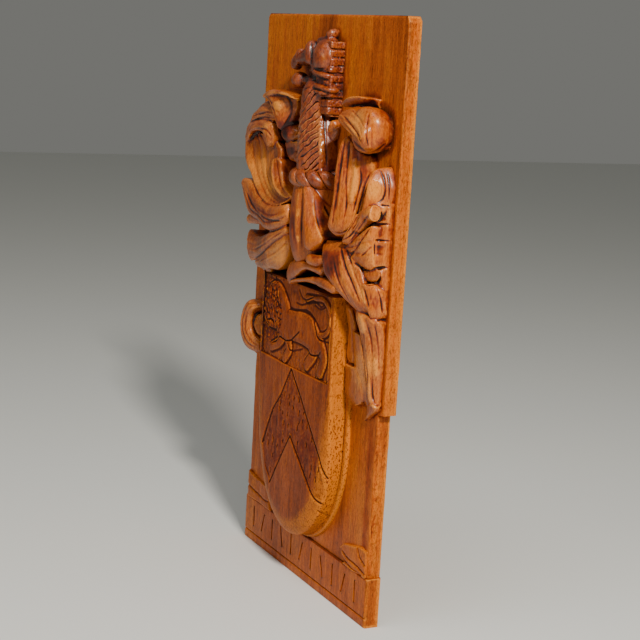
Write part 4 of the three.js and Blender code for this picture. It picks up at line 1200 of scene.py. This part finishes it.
def helmetRow(row):
    x, up, wide, deep = row
    return (helmet["middle"] + x * helmet["half"], helmet["foot"] + up * helmet["height"], 0.0,
            wide * helmet["half"], deep * helmet["relief"])


def helmetForms():
    return [
        limb([helmetRow(row) for row in helmetBell], 48, 2.0, "blunt", "round", 1.4),
        limb([helmetRow(row) for row in helmetVisor], 28, 1.9, "blunt", "round", 1.4),
        *[fold(seed=number, **shape) for number, shape in enumerate(helmetFolds)],
        limb(helmetRoll, 26, 2.0, "round", "round", 1.4),
    ]


helmetPiece = makePiece("helmet", helmetForms())
fuse(helmetPiece, helmet["grain"], 1)
roughen(helmetPiece, [(10, 0.3), (3.5, 0.1)], 51)
gouge(helmetPiece, helmetStrokes)

# Wreath: a rope of lobes that turn as they run round the helmet's top
wreath = {
    "radius": 41.0,
    "middle": 2.0,
    "up": 477.7,
    "roll": 11.0,
    "depth": 0.32,
    "lobes": 2.0,
    "turns": 3.75,
    "runIn": 0.06,           # how far the rope runs on below the half round
}


def wreathTree():
    tree, size, end = newTree("wreath rope", ["Radius", "Roll", "Depth", "Lobes", "Turns", "Sweep", "Across",
                                              "Behind", "Up"])
    begin = times(tree, treeMath(tree, "ADD", size["Sweep"], math.pi), -0.5)
    arc = treeNode(tree, "GeometryNodeCurveArc", {"Resolution": 230}, mode="RADIUS")
    for name, value in (("Radius", size["Radius"]), ("Start Angle", begin), ("Sweep Angle", size["Sweep"])):
        tree.links.new(value, arc.inputs[name])
    along = treeNode(tree, "GeometryNodeSplineParameter").outputs["Factor"]
    twist = times(tree, times(tree, along, size["Turns"]), 2 * math.pi)
    tilted = treeNode(tree, "GeometryNodeSetCurveTilt", {"Curve": arc.outputs[0], "Tilt": twist})
    ring = treeNode(tree, "GeometryNodeCurvePrimitiveCircle", {"Resolution": 60}, mode="RADIUS")
    tree.links.new(size["Roll"], ring.inputs["Radius"])
    around = treeNode(tree, "GeometryNodeSplineParameter").outputs["Factor"]
    angle = times(tree, times(tree, around, math.pi), size["Lobes"])
    full = treeMath(tree, "POWER", treeMath(tree, "ABSOLUTE", treeMath(tree, "SINE", angle)), 0.45)
    sunk = times(tree, treeMath(tree, "SUBTRACT", full, 1.0), size["Depth"])
    share = treeMath(tree, "ADD", sunk, 1.0)
    spot = treeNode(tree, "GeometryNodeInputPosition").outputs[0]
    scaled = treeNode(tree, "ShaderNodeVectorMath", {0: spot}, operation="SCALE")
    tree.links.new(share, scaled.inputs["Scale"])
    profile = treeNode(tree, "GeometryNodeSetPosition",
                       {"Geometry": ring.outputs[0], "Position": scaled.outputs[0]})
    rope = treeNode(tree, "GeometryNodeCurveToMesh", {
        "Curve": tilted.outputs[0], "Profile Curve": profile.outputs[0], "Fill Caps": True})
    where = treeNode(tree, "ShaderNodeCombineXYZ", {0: size["Across"], 1: size["Behind"], 2: size["Up"]})
    moved = treeNode(tree, "GeometryNodeTransform",
                     {"Geometry": rope.outputs[0], "Translation": where.outputs[0]})
    return closeTree(tree, moved.outputs[0], end)


wreathPiece = makePiece("wreath", [ball(0, 470, 5, 1, 1, 1, 8)])
growTree(wreathPiece, wreathTree(), {
    "Radius": (wreath["radius"] - wreath["roll"]) / 1000,
    "Roll": wreath["roll"] / 1000,
    "Depth": wreath["depth"],
    "Lobes": wreath["lobes"],
    "Turns": wreath["turns"],
    "Sweep": math.pi * (1 + 2 * wreath["runIn"]),
    "Across": wreath["middle"] / 1000,
    "Behind": -plaque["thickness"] / 1000,
    "Up": (wreath["up"] - plaque["height"] / 2) / 1000,
})
print("helmet and wreath done", len(wreathPiece.data.polygons))

# Crest: a beast's neck and head
crest = {"foot": 481.0, "height": 158.0, "relief": 36.0, "grain": 0.9}
# Across, up and half width in hundredths of the crest's height, out and depth in hundredths of its relief
crestLimbs = {
    "neck": [(3, -14, 0, 18, 95), (1, 20, 0, 18, 92), (-3, 45, 0, 15.5, 82), (-1, 62, 0, 14.5, 78),
             (2, 72, 0, 14, 70)],
    "headBase": [(2, 62, 0, 15, 60), (2, 76, 0, 16.5, 60), (1, 90, 0, 16.5, 58), (3, 96.5, 0, 15, 50)],
    "shoulder": [(9, 22, 4, 5, 20), (16, 31, 5, 5, 20), (21, 37, 5, 3, 10)],
    "breast": [(-14, 8, 16, 7, 40), (-24, 12, 22, 6, 36), (-28, 20, 20, 2, 10)],
}
# The head's parts in mm: across, up, out, half width and depth
headLimbs = [
    [(-4, 618, 0, 13, 22), (-24, 613, 0, 12.5, 23), (-40, 609, 0, 10, 23), (-47, 607, 0, 8, 20)],
    [(6, 586, 0, 8, 22), (-16, 586, 0, 7.5, 22), (-38, 584, 0, 7.5, 19)],
    [(2, 598, 0, 9, 14), (-26, 597, 0, 8, 12), (-36, 597, 0, 5, 9)],
    [(-14, 631, 15, 7.5, 8), (-13, 620, 17, 8, 8), (-12, 606, 16, 7.5, 8), (-12, 601, 12, 6, 6)],
    [(-34, 618, 15, 7, 7), (-42, 612, 16, 7, 7.5), (-43, 602, 15, 6.5, 7)],
    [(-44, 610, 12, 8.5, 8), (-55, 606, 14, 8, 7), (-60, 596, 14, 5.5, 6)],
    [(9, 633, 4, 5, 8), (15, 638, 6, 5.5, 8), (19, 644, 5, 2.6, 5)],
    [(-8, 629, 9, 6, 8), (8, 630, 9, 6, 8), (22, 629, 7, 6, 8)],
    [(6, 597, 18, 3.4, 7), (18, 595, 18, 3.6, 7.5), (34, 591.5, 14, 3.4, 7)],
    [(6, 588, 14, 5, 7), (20, 586, 14, 5, 7), (34, 584, 11, 4.5, 6)],
    [(8, 582, 18, 3.0, 7), (24, 580, 17, 3.2, 8), (40, 577, 12, 3, 7)],
    [(8, 576, 17, 2.6, 7), (22, 574.5, 16, 2.8, 8), (32, 573, 13, 2.4, 6)],
]
headBalls = [(15, 613, 13, 19, 20, 14), (-46, 585, 14, 11.5, 9.5, 10)]
crestStrokes = [
    # the head, with a painted highlight on the cheek and painted shade in the mouth, under the ear and along
    # the jaw
    (1.2, 1.4, 0.8, [(-2, 631, 24), (0, 620, 24), (3, 608, 24)]),
    (4.5, 0.6, 1.2, [(-9, 634, 20), (14, 634, 20), (30, 633, 18)]),
    (1.6, 0.6, 0.7, [(-31, 632, 22), (-15, 635, 22), (-5, 633, 22)]),
    (3.2, 1.0, 1.2, [(-49, 603, 18), (-32, 601, 18), (-10, 602, 20)]),
    (4.5, 0.0, 1.0, [(-34, 593, 18), (-11, 585, 20)]),
    (1.2, 1.2, 0.8, [(6, 601, 24), (26, 599, 26), (35, 601, 22)]),
    (2.2, 0.0, -0.9, [(28, 620, 26), (36, 612, 26), (29, 602, 24)]),
    (1.5, 0.0, -0.7, [(9, 596, 24), (29, 593, 20)]),
    (1.8, 1.0, 1.0, [(-5, 591, 22), (15, 588, 24), (30, 585, 20)]),
    (1.5, 0.0, -0.6, [(8, 583, 24), (35, 578, 16)]),
    (1.2, 1.0, 0.8, [(2, 579, 22), (24, 576, 20)]),
    # the ridge down the neck with a painted highlight on it, and painted shade over the neck's left
    (2.6, 0.0, -1.1, [(29, 568, 28), (37, 539, 28), (46, 513, 28), (46, 495, 27)]),
    (1.0, 1.0, 0.8, [(37, 569, 24), (46, 540, 25), (52, 513, 25), (54, 494, 24)]),
    (6.0, 0.0, 0.3, [(-4, 553, 26), (9, 498, 28)]),
]


def crestRow(row):
    unit, deep = crest["height"] / 100, crest["relief"] / 100
    x, up, out, half, depth = row
    return x * unit, crest["foot"] + up * unit, out * deep, half * unit, depth * deep


lockLook = {
    "pitch": 9.7,
    "depth": 1.8,
    "cut": 1.6,
    "slope": 0.62,
    "bow": 0.012,
    "wobble": 6.5,
    "ridge": 1.4,
    "ridgeWidth": 3.2,
}


# Locks lie over one another on the neck, up to the ridge at its right
def carveLocks(piece):
    mm = unplace(readPoints(piece))
    normals = readFacing(piece)
    unit = crest["height"] / 100
    x, up = mm[:, 0], mm[:, 1]
    neckTop = crest["foot"] + 60 * unit
    onNeck = ease(up, crest["foot"] - 12, crest["foot"] + 2) * (1 - ease(up, neckTop - 4, neckTop + 4))
    across = linedUp(mm)[0][:, 0]
    locks = (1 - ease(across, -3.5, 0.5)) * ease(x, -34, -26)
    ridge = np.exp(-((across - 1.2) / lockLook["ridgeWidth"]) ** 2)
    wobble = softNoise(mm * [1, 0.5, 0.3], 13, 61) + 0.5 * softNoise(mm * [1, 1, 0.3], 6, 65)
    bent = up - lockLook["slope"] * x - lockLook["bow"] * (x + 20) ** 2
    tooth = (bent + lockLook["wobble"] * wobble) / lockLook["pitch"] % 1.0
    power = 0.75 + 0.45 * softNoise(mm * [0.6, 1, 0.3], 16, 66)
    toothEdge = np.minimum(tooth, 1 - tooth)
    rise = lockLook["depth"] * (1.5 * tooth - 0.8)
    push = (rise - lockLook["cut"] * np.exp(-(toothEdge / 0.1) ** 2)) * power
    chips = 0.7 * softNoise(mm * [0.5, 1, 0.5], 3.4, 67) + 0.4 * softNoise(mm, 2.2, 68)
    total = locks * push + ridge * (lockLook["ridge"] + chips) + 0.35 * softNoise(mm * [1, 1, 0.4], 4.5, 64)
    mm += normals * (total * onNeck * ease(mm[:, 2], 6, 12))[:, None]
    writePoints(piece, place(mm))
    addStain(piece, onNeck * locks * (0.7 * np.exp(-(toothEdge / 0.13) ** 2) - 0.1))


crestPiece = makePiece("crest", [
    *[limb([crestRow(row) for row in rows], 30, 2.0, step=1.5) for rows in crestLimbs.values()],
    *[limb(rows, 24, 2.0, step=1.2) for rows in headLimbs],
    *[ball(*sizes, 32) for sizes in headBalls],
])
fuse(crestPiece, crest["grain"], 3)
carveLocks(crestPiece)
roughen(crestPiece, [(8, 0.25), (3, 0.22)], 63)
gouge(crestPiece, crestStrokes)

# Comb: slats down the back of the neck, stacked with a dark gap between them
comb = {
    "count": 9,
    "reach": 35.0,
    "relief": 17.0,
    "spine": 13.0,
    "slat": 0.8,             # share of the pitch that a slat takes up
    "low": 550.5,
    "high": 632.7,
    "unevenness": 0.02,
    "seed": 5,
    "grain": 0.8,
}


def combTree():
    tree, size, end = newTree("comb slats", ["Count", "Pitch", "Unevenness"])
    offset = treeNode(tree, "ShaderNodeCombineXYZ", {2: size["Pitch"]})
    line = treeNode(tree, "GeometryNodeMeshLine", {"Offset": offset.outputs[0]}, mode="OFFSET")
    tree.links.new(size["Count"], line.inputs["Count"])
    uneven = treeNode(tree, "FunctionNodeRandomValue", data_type="FLOAT_VECTOR")
    least = treeNode(tree, "ShaderNodeVectorMath", {0: (-1.0, -1.0, -1.0)}, operation="SCALE")
    most = treeNode(tree, "ShaderNodeVectorMath", {0: (1.0, 1.0, 1.0)}, operation="SCALE")
    for node in (least, most):
        tree.links.new(size["Unevenness"], node.inputs["Scale"])
    limits = [socket for socket in uneven.inputs if socket.type == "VECTOR"]
    tree.links.new(least.outputs[0], limits[0])
    tree.links.new(most.outputs[0], limits[1])
    seed = [socket for socket in uneven.inputs if socket.name == "Seed"][0]
    seed.default_value = comb["seed"]
    turn = [socket for socket in uneven.outputs if socket.type == "VECTOR"][0]
    rows = treeNode(tree, "GeometryNodeInstanceOnPoints", {
        "Points": line.outputs[0], "Instance": size["Geometry"], "Rotation": turn})
    return closeTree(tree, rows.outputs[0], end)


def slatForm(reach, relief, tall):
    x = [4, 14, reach - 3, reach - 0.8, reach - 0.3, reach]
    outs = [relief + 1.5, relief + 1.0, relief, relief - 0.3, relief - 1.1, relief - 3]
    rings = []
    for z, inset in ((0, 0.9), (0.4, 0.35), (1.0, 0), (tall - 1.0, 0), (tall - 0.4, 0.35), (tall, 0.9)):
        front = [[min(a, reach - inset), z, b - inset] for a, b in zip(x, outs)]
        side = [[reach - inset, z, 8], [reach - inset, z, 2], [reach - inset, z, -plaque["root"]]]
        rings.append(front + side + [[4, z, -plaque["root"]]])
    return closedForm(np.array(rings, float))


combPitch = (comb["high"] - comb["low"]) / comb["count"]


def makeComb():
    points, faces = slatForm(comb["reach"], comb["relief"], combPitch * comb["slat"])
    mesh = bpy.data.meshes.new("comb")
    start = np.array([[0, comb["low"], 0]])
    mesh.from_pydata((place(points + start) - place(start) * [0, 0, 1]).tolist(), [], faces)
    piece = addObject("comb", mesh)
    growTree(piece, combTree(), {
        "Count": comb["count"],
        "Pitch": combPitch / 1000,
        "Unevenness": comb["unevenness"],
    })
    moved = readPoints(piece)
    moved[:, 2] += place(start)[0, 2]
    writePoints(piece, moved)
    fuse(piece, comb["grain"], 1)
    roughen(piece, [(5, 0.3), (1.8, 0.35)], 73)
    return piece


combPiece = makeComb()
spineRows = [(15, up, 0, 17, comb["spine"]) for up in (comb["low"] - 2, comb["high"] - 6)]
spinePiece = makePiece("comb_spine", [limb(spineRows, 24, 6.0, "blunt", "blunt")])
print("crest done", len(crestPiece.data.polygons), len(combPiece.data.polygons))

# Everything is one carved panel
carving = [bannerPiece, ribbons, shieldPiece, mantlingRight, mantlingLeft, foldsPiece, helmetPiece,
           wreathPiece, crestPiece, combPiece, spinePiece]
relief = {"grain": 1.6, "low": (-180.0, -5.0), "high": (180.0, 665.0)}


# Evens out a map of heights over a radius
def blur(height, radius):
    steps = int(round(radius / relief["grain"]))
    for axis in (0, 1):
        padded = np.pad(height, [(steps, steps) if a == axis else (0, 0) for a in (0, 1)], mode="edge")
        total = np.insert(np.cumsum(padded, axis=axis), 0, 0, axis=axis)
        size = height.shape[axis]
        high = np.take(total, np.arange(2 * steps + 1, 2 * steps + 1 + size), axis=axis)
        height = (high - np.take(total, np.arange(size), axis=axis)) / (2 * steps + 1)
    return height


# How high the carving stands over each place of the board
def reliefMap(parts):
    low, high = np.array(relief["low"]), np.array(relief["high"])
    shape = np.ceil((high - low) / relief["grain"]).astype(int) + 1
    height = np.zeros(shape)
    for piece in parts:
        mm = unplace(readPoints(piece))
        cell = np.clip(((mm[:, :2] - low) / relief["grain"]).round().astype(int), 0, shape - 1)
        np.maximum.at(height, (cell[:, 0], cell[:, 1]), mm[:, 2])
    return height


def readMap(height, mm):
    low = np.array(relief["low"])
    cell = np.clip(((mm[:, :2] - low) / relief["grain"]), 0, np.array(height.shape) - 1.001)
    i, part = cell.astype(int), cell % 1
    a, b = height[i[:, 0], i[:, 1]], height[i[:, 0] + 1, i[:, 1]]
    c, d = height[i[:, 0], i[:, 1] + 1], height[i[:, 0] + 1, i[:, 1] + 1]
    lower = a * (1 - part[:, 0]) + b * part[:, 0]
    upper = c * (1 - part[:, 0]) + d * part[:, 0]
    return lower * (1 - part[:, 1]) + upper * part[:, 1]


def writeAttribute(piece, name, values):
    attribute = piece.data.attributes.new(name, "FLOAT", "POINT")
    attribute.data.foreach_set("value", values.astype(np.float32))


# How far each point lies below the smoothed surface round it, in mm: above zero in a groove, below on an edge
def hollows(piece, rounds):
    mesh = piece.data
    edges = np.zeros(len(mesh.edges) * 2, np.int32)
    mesh.edges.foreach_get("vertices", edges)
    a, b = edges.reshape(-1, 2).T
    points, normals = readPoints(piece) * 1000, readNormals(piece)
    count = np.maximum(np.bincount(a, minlength=len(points)) + np.bincount(b, minlength=len(points)), 1)
    length = np.linalg.norm(points[a] - points[b], axis=1)
    grain = (np.bincount(a, length, len(points)) + np.bincount(b, length, len(points))) / count
    found = []
    smooth = points.copy()
    for turn in range(max(rounds)):
        near = np.stack([np.bincount(a, smooth[b, k], len(points)) + np.bincount(b, smooth[a, k], len(points))
                         for k in range(3)], 1)
        smooth = 0.4 * smooth + 0.6 * near / count[:, None]
        if turn + 1 in rounds:
            found.append(np.einsum("ij,ij->i", smooth - points, normals) / np.maximum(grain, 1) ** 2)
    return found


# Reaches in mm and their weights
coverReaches = ((3.0, 0.4), (7.0, 0.35), (14.0, 0.25))


# How much of the space over each place is taken up by the carving round it, which the wood paints as shade
def covered(mm, normals, heights):
    total, most = np.zeros(len(mm)), np.zeros(len(mm))
    steps = (-1, 0, 1)
    ways = np.array([(a, b, c) for a in steps for b in steps for c in steps if a or b or c], float)
    ways /= np.linalg.norm(ways, axis=1)[:, None]
    for way in ways:
        facing = np.clip(normals @ way, 0, 1)
        for reach, weight in coverReaches:
            there = mm + (way * 0.85 + normals * 0.3) * reach
            above = readMap(heights, there) - there[:, 2]
            total += weight * facing * np.clip(above / (0.35 * reach), 0, 1)
        most += facing
    return total / np.maximum(most, 0.1)


# Where hands rubbed the wood pale and where old wax stayed dark, together with painted highlights on lit
# faces and painted shade on shaded ones: across, up, reach in mm, amount
tones = [
    (14, 590, 40, -0.25), (24, 596, 20, -0.3), (20, 570, 20, -0.3), (-12, 612, 18, -0.3),
    (-8, 330, 60, -0.25), (130, 551, 12, 0.6), (-66, 554, 9, 0.4), (-114, 481, 14, 0.5),
    (-87, 454, 12, 0.4), (-68, 477, 6, 0.4), (-40, 384, 16, 0.5), (61, 418, 8, 0.5), (132, 501, 7, 0.7),
    (121, 477, 7, 0.4), (160, 482, 10, 0.8), (167, 457, 6, 0.7), (148, 426, 12, 0.4), (159, 406, 8, 0.3),
    (131, 393, 10, 0.4), (147, 372, 8, 0.5), (143, 339, 9, 0.7), (160, 295, 9, 0.5), (57, 535, 7, 0.4),
    (42, 441, 8, 0.3), (172, 352, 6, 0.4), (-61, 524, 13, -0.9), (-138, 516, 9, -0.8),
    (-61, 501, 12, -0.6), (-132, 443, 7, -0.5), (-142, 396, 8, -0.9), (-71, 482, 9, -0.5),
    (-4, 431, 9, -0.5), (44, 433, 8, -0.5), (67, 416, 10, -0.9), (24, 373, 10, -0.7), (41, 361, 12, -0.6),
    (129, 472, 8, -0.4), (166, 487, 10, -0.3), (148, 300, 34, 0.4), (132, 275, 20, 0.3),
    (122, 568, 10, -0.6), (9, 498, 12, -0.4), (35, 488, 12, -0.8), (161, 369, 8, -0.3),
    (-69, 570, 9, -0.7), (163, 430, 9, -0.3),
]
heights = blur(reliefMap([board, *carving]), relief["grain"])
for piece in [board, *carving]:
    mm, normals = unplace(readPoints(piece)), readFacing(piece)
    up, onSide = mm[:, 1], np.abs(normals[:, 0])
    # painted shade: places hemmed in by the carving round them are darkened
    writeAttribute(piece, "occlusionShade", covered(mm, normals, heights) * ease(mm[:, 2], -3.0, -0.6))
    sharp, wide = hollows(piece, (3, 14))
    writeAttribute(piece, "crease", sharp)
    writeAttribute(piece, "hollow", wide)
    tone = np.zeros(len(mm))
    raised = ease(mm[:, 2], 1, 5)
    for x, z, size, amount in tones:
        tone += amount * np.exp(-((mm[:, 0] - x) ** 2 + (up - z) ** 2) / size**2) * raised
    # the shield's edge and bowl are rubbed and carry a painted highlight, and the sides of the shield and the
    # panel are painted lighter as lit from the side
    if piece == shieldPiece:
        inset = shieldInset(mm[:, 0] - shield["middle"], up)
        bowl = 1 - ease(up, 150, 262)
        rim = 0.2 * (1 - ease(inset, 1, 7)) + 0.75 * bowl * (1 - ease(inset, 12, 25))
        tone += rim * ease(up, 54, 60)
        # painted highlight on the shield's side walls
        tone += 0.65 * ease(onSide, 0.5, 0.9) * ease(up, 54, 110)
    if piece == mantlingLeft:
        tone += 0.22
    if piece in (board, bannerPiece):
        # painted highlight on the sides of the board and banner
        tone += (0.2 - 0.1 * (up < plaque["shoulder"])) * ease(onSide, 0.5, 0.9)
    writeAttribute(piece, "tone", tone)
print("wear measured")


def srgb(red, green, blue):
    return tuple(((v / 255 + 0.055) / 1.055) ** 2.4 for v in (red, green, blue)) + (1.0,)


# Woods of the panel: the same board, polished where hands and cloths reach
woods = {
    "board": dict(pale=(224, 128, 22), middle=(184, 86, 9), dark=(116, 46, 5), bareAndHighlight=(238, 148, 46),
                  sheen=0.12, rough=0.45, coat=0.08, grain=1.0, wearAndHighlight=0.5, pits=0.6, mottle=0.45, waxAndShade=0.8,
                  pores=0.55),
    "carving": dict(pale=(216, 118, 24), middle=(166, 76, 11), dark=(94, 35, 5), bareAndHighlight=(240, 156, 62),
                    sheen=0.3, rough=0.36, coat=0.2, grain=0.8, wearAndHighlight=0.6, pits=0.3, mottle=0.55, waxAndShade=1.0,
                    pores=0.35),
    "shield": dict(pale=(192, 96, 20), middle=(148, 64, 11), dark=(92, 36, 6), bareAndHighlight=(240, 142, 24),
                   sheen=0.14, rough=0.5, coat=0.05, grain=0.9, wearAndHighlight=0.5, pits=0.5, mottle=0.6, waxAndShade=0.9,
                   pores=0.5),
    "crest": dict(pale=(182, 92, 32), middle=(134, 58, 17), dark=(74, 28, 9), bareAndHighlight=(240, 160, 80),
                  sheen=0.4, rough=0.34, coat=0.3, grain=0.7, wearAndHighlight=0.4, pits=0.4, mottle=0.9, waxAndShade=1.0,
                  pores=0.35),
}


def ramp(tree, value, stops):
    node = treeNode(tree, "ShaderNodeValToRGB", {0: value})
    elements = node.color_ramp.elements
    while len(elements) > 1:
        elements.remove(elements[-1])
    elements[0].position, elements[0].color = stops[0]
    for position, color in stops[1:]:
        elements.new(position).color = color
    return node.outputs[0]


def grey(level):
    return (level, level, level, 1.0)


def mixed(tree, blend, factor, a, b):
    node = treeNode(tree, "ShaderNodeMix", data_type="RGBA", blend_type=blend)
    for socket, value in ((node.inputs[0], factor), (node.inputs[6], a), (node.inputs[7], b)):
        if hasattr(value, "is_output"):
            tree.links.new(value, socket)
        else:
            socket.default_value = value
    return node.outputs[2]


def woodMaterial(name, look):
    material = bpy.data.materials.new(name)
    material.use_nodes = True
    tree = material.node_tree
    shader = tree.nodes["Principled BSDF"]
    spot = treeNode(tree, "ShaderNodeTexCoord").outputs["Object"]

    # fibres run up the board, so most noise is drawn out along it
    def noise(scale, detail, rough, upward=1.0, warp=0.0):
        spread = treeNode(tree, "ShaderNodeMapping", {"Vector": spot, "Scale": (1, 1, upward)})
        return treeNode(tree, "ShaderNodeTexNoise", {
            "Vector": spread.outputs[0],
            "Scale": scale,
            "Detail": detail,
            "Roughness": rough,
            "Distortion": warp,
        }).outputs[0]

    broad = noise(14, 2, 0.5, 0.28, 0.6)
    streak = noise(120, 4, 0.6, 0.055, 0.35)
    fine = noise(620, 3, 0.6, 0.05, 0.2)
    pore = noise(1500, 2, 0.5, 0.045)
    figure = weighed(tree, (weighed(tree, (broad, 0.55), (streak, 0.45)), 0.8), (fine, 0.2))
    pale, middle, dark = (srgb(*look[key]) for key in ("pale", "middle", "dark"))
    color = ramp(tree, figure, [(0.33, dark), (0.47, middle), (0.66, pale)])
    specks = ramp(tree, pore, [(0.36, grey(0.0)), (0.46, grey(1.0))])
    porous = mixed(tree, "MULTIPLY", look["pores"], color, specks)
    mottle = noise(430, 4, 0.7, 0.5, 0.4)
    porous = mixed(tree, "MULTIPLY", look["mottle"], porous, ramp(tree, mottle, [
        (0.34, srgb(150, 104, 84)), (0.46, srgb(228, 214, 200)), (0.6, srgb(255, 255, 255))]))
    occlusionShade, crease, hollow, tone, stainAndPaintedLight = (
        treeNode(tree, "ShaderNodeAttribute", attribute_name=label).outputs["Fac"]
        for label in ("occlusionShade", "crease", "hollow", "tone", "stainAndPaintedLight"))
    blotch = noise(60, 3, 0.6)
    patchy = treeMath(tree, "SUBTRACT", blotch, 0.5)

    # wax and dirt in the hollows, together with painted shade where the carving round a place and its creases
    # would shade it
    deep = weighed(tree, (occlusionShade, 0.9), (crease, 1.8), (hollow, 0.75), (tone, -0.45), (stainAndPaintedLight, 0.85),
                   (patchy, 0.55))
    dirtAndShade = ramp(tree, deep, [
        (0.05, srgb(255, 255, 255)), (0.3, srgb(196, 146, 112)), (0.8, srgb(66, 30, 18))])
    dirtyAndShaded = mixed(tree, "MULTIPLY", look["waxAndShade"], porous, dirtAndShade)

    # bare wood where it is rubbed, and painted highlights where the tones and stroke tints call for them
    speckle = treeMath(tree, "SUBTRACT", noise(520, 4, 0.75, 0.4, 0.3), 0.5)
    rubbedAndHighlight = weighed(tree, (tone, 0.6), (crease, -1.6), (stainAndPaintedLight, -0.4), (speckle, 1.1), (blotch, 0.2))
    wornAndHighlight = ramp(tree, rubbedAndHighlight, [(0.16, grey(0.0)), (0.75, grey(1.0))])
    bareAndHighlight = mixed(tree, "MIX", times(tree, wornAndHighlight, look["wearAndHighlight"]), dirtyAndShaded, srgb(*look["bareAndHighlight"]))
    pits = ramp(tree, noise(560, 3, 0.6, 0.7), [(0.38, srgb(128, 72, 44)), (0.47, srgb(255, 255, 255))])
    pitted = times(tree, treeMath(tree, "ADD", tone, 0.55), look["pits"])
    tree.links.new(mixed(tree, "MULTIPLY", pitted, bareAndHighlight, pits), shader.inputs["Base Color"])

    gloss = treeMath(tree, "ADD", times(tree, patchy, 0.35), look["rough"])
    for value, weight in ((occlusionShade, 0.25), (stainAndPaintedLight, 0.22)):
        gloss = treeMath(tree, "ADD", gloss, times(tree, value, weight))
    tree.links.new(gloss, shader.inputs["Roughness"])
    shader.inputs["Coat Weight"].default_value = look["coat"]
    shader.inputs["Coat Roughness"].default_value = 0.2
    shader.inputs["Specular IOR Level"].default_value = look["sheen"]
    height = weighed(tree, (fine, 0.5), (pore, 0.5), (streak, 0.6), (mottle, 1.6 * look["mottle"]))
    bump = treeNode(tree, "ShaderNodeBump",
                    {"Height": height, "Strength": 0.5 * look["grain"], "Distance": 0.0005})
    tree.links.new(bump.outputs[0], shader.inputs["Normal"])
    return material


made = {name: woodMaterial("wood " + name, look) for name, look in woods.items()}
dress = {"board": "board", "banner": "board", "ribbon_ends": "board", "shield": "shield", "crest": "crest",
         "comb": "crest", "comb_spine": "crest", "wreath": "crest"}
# Edges sharper than this stay crisp
crispAngle = math.radians(52)
for piece in [board, *carving]:
    piece.data.materials.clear()
    piece.data.materials.append(made[dress.get(piece.name, "carving")])
    piece.data.polygons.foreach_set("use_smooth", [True] * len(piece.data.polygons))
    piece.data.set_sharp_from_angle(angle=crispAngle)
    piece.data.update()
    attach(piece, "root")
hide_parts("carved_panel")
print("wood laid on")

# Floor, lights and camera, in metres
floorLook = {"half": 6, "color": (0.75, 0.76, 0.73, 1), "rough": 0.9}
lamps = {
    "key": dict(at=(1.9, -0.45, 1.4), aim=(0.05, -0.02, 0.0), size=0.26, power=78, color=(1.0, 0.95, 0.87)),
    "fill": dict(at=(0.0, -2.2, 0.9), aim=(0, 0, 0), size=1.4, power=6, color=(1.0, 0.97, 0.92)),
    "top": dict(at=(0.3, -0.6, 1.9), aim=(0, 0, 0), size=0.8, power=8, color=(1, 1, 1)),
}
sky = {"color": (0.86, 0.86, 0.8, 1), "strength": 0.2}


def groundPlane():
    mesh = bpy.data.meshes.new("floor")
    half, foot = floorLook["half"], -plaque["height"] / 2000
    corners = [(-half, -half, foot), (half, -half, foot), (half, half, foot), (-half, half, foot)]
    mesh.from_pydata(corners, [], [(0, 1, 2, 3)])
    material = bpy.data.materials.new("pale floor")
    material.use_nodes = True
    shader = material.node_tree.nodes["Principled BSDF"]
    shader.inputs["Base Color"].default_value = floorLook["color"]
    shader.inputs["Roughness"].default_value = floorLook["rough"]
    mesh.materials.append(material)
    addObject("floor", mesh)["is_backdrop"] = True


def softLight(name, at, aim, size, power, color):
    lamp = bpy.data.lights.new(name, "AREA")
    lamp.shape = "DISK"
    lamp.size = size
    lamp.energy = power
    lamp.color = color
    thing = addObject(name, lamp)
    thing.location = at
    thing.rotation_euler = (Vector(aim) - Vector(at)).to_track_quat("-Z", "Y").to_euler()


groundPlane()
for name, lamp in lamps.items():
    softLight(name, **lamp)
world = bpy.data.worlds.new("room")
world.use_nodes = True
background = world.node_tree.nodes["Background"]
background.inputs["Color"].default_value = sky["color"]
background.inputs["Strength"].default_value = sky["strength"]
bpy.context.scene.world = world

view = {
    "at": (1.52493, -0.77779, 0.29723),
    "right": (0.43958, 0.89644, 0.05620),
    "forward": (-0.87851, 0.44213, -0.18095),
    "lens": 84.375,
}
lens = bpy.data.cameras.new("view")
lens.sensor_width = 36
lens.lens = view["lens"]
eye = addObject("view", lens)
right = Vector(view["right"]).normalized()
back = -Vector(view["forward"]).normalized()
upward = back.cross(right).normalized()
eye.matrix_world = Matrix.Translation(view["at"]) @ Matrix((right, upward, back)).transposed().to_4x4()
bpy.context.scene.camera = eye

low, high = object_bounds()
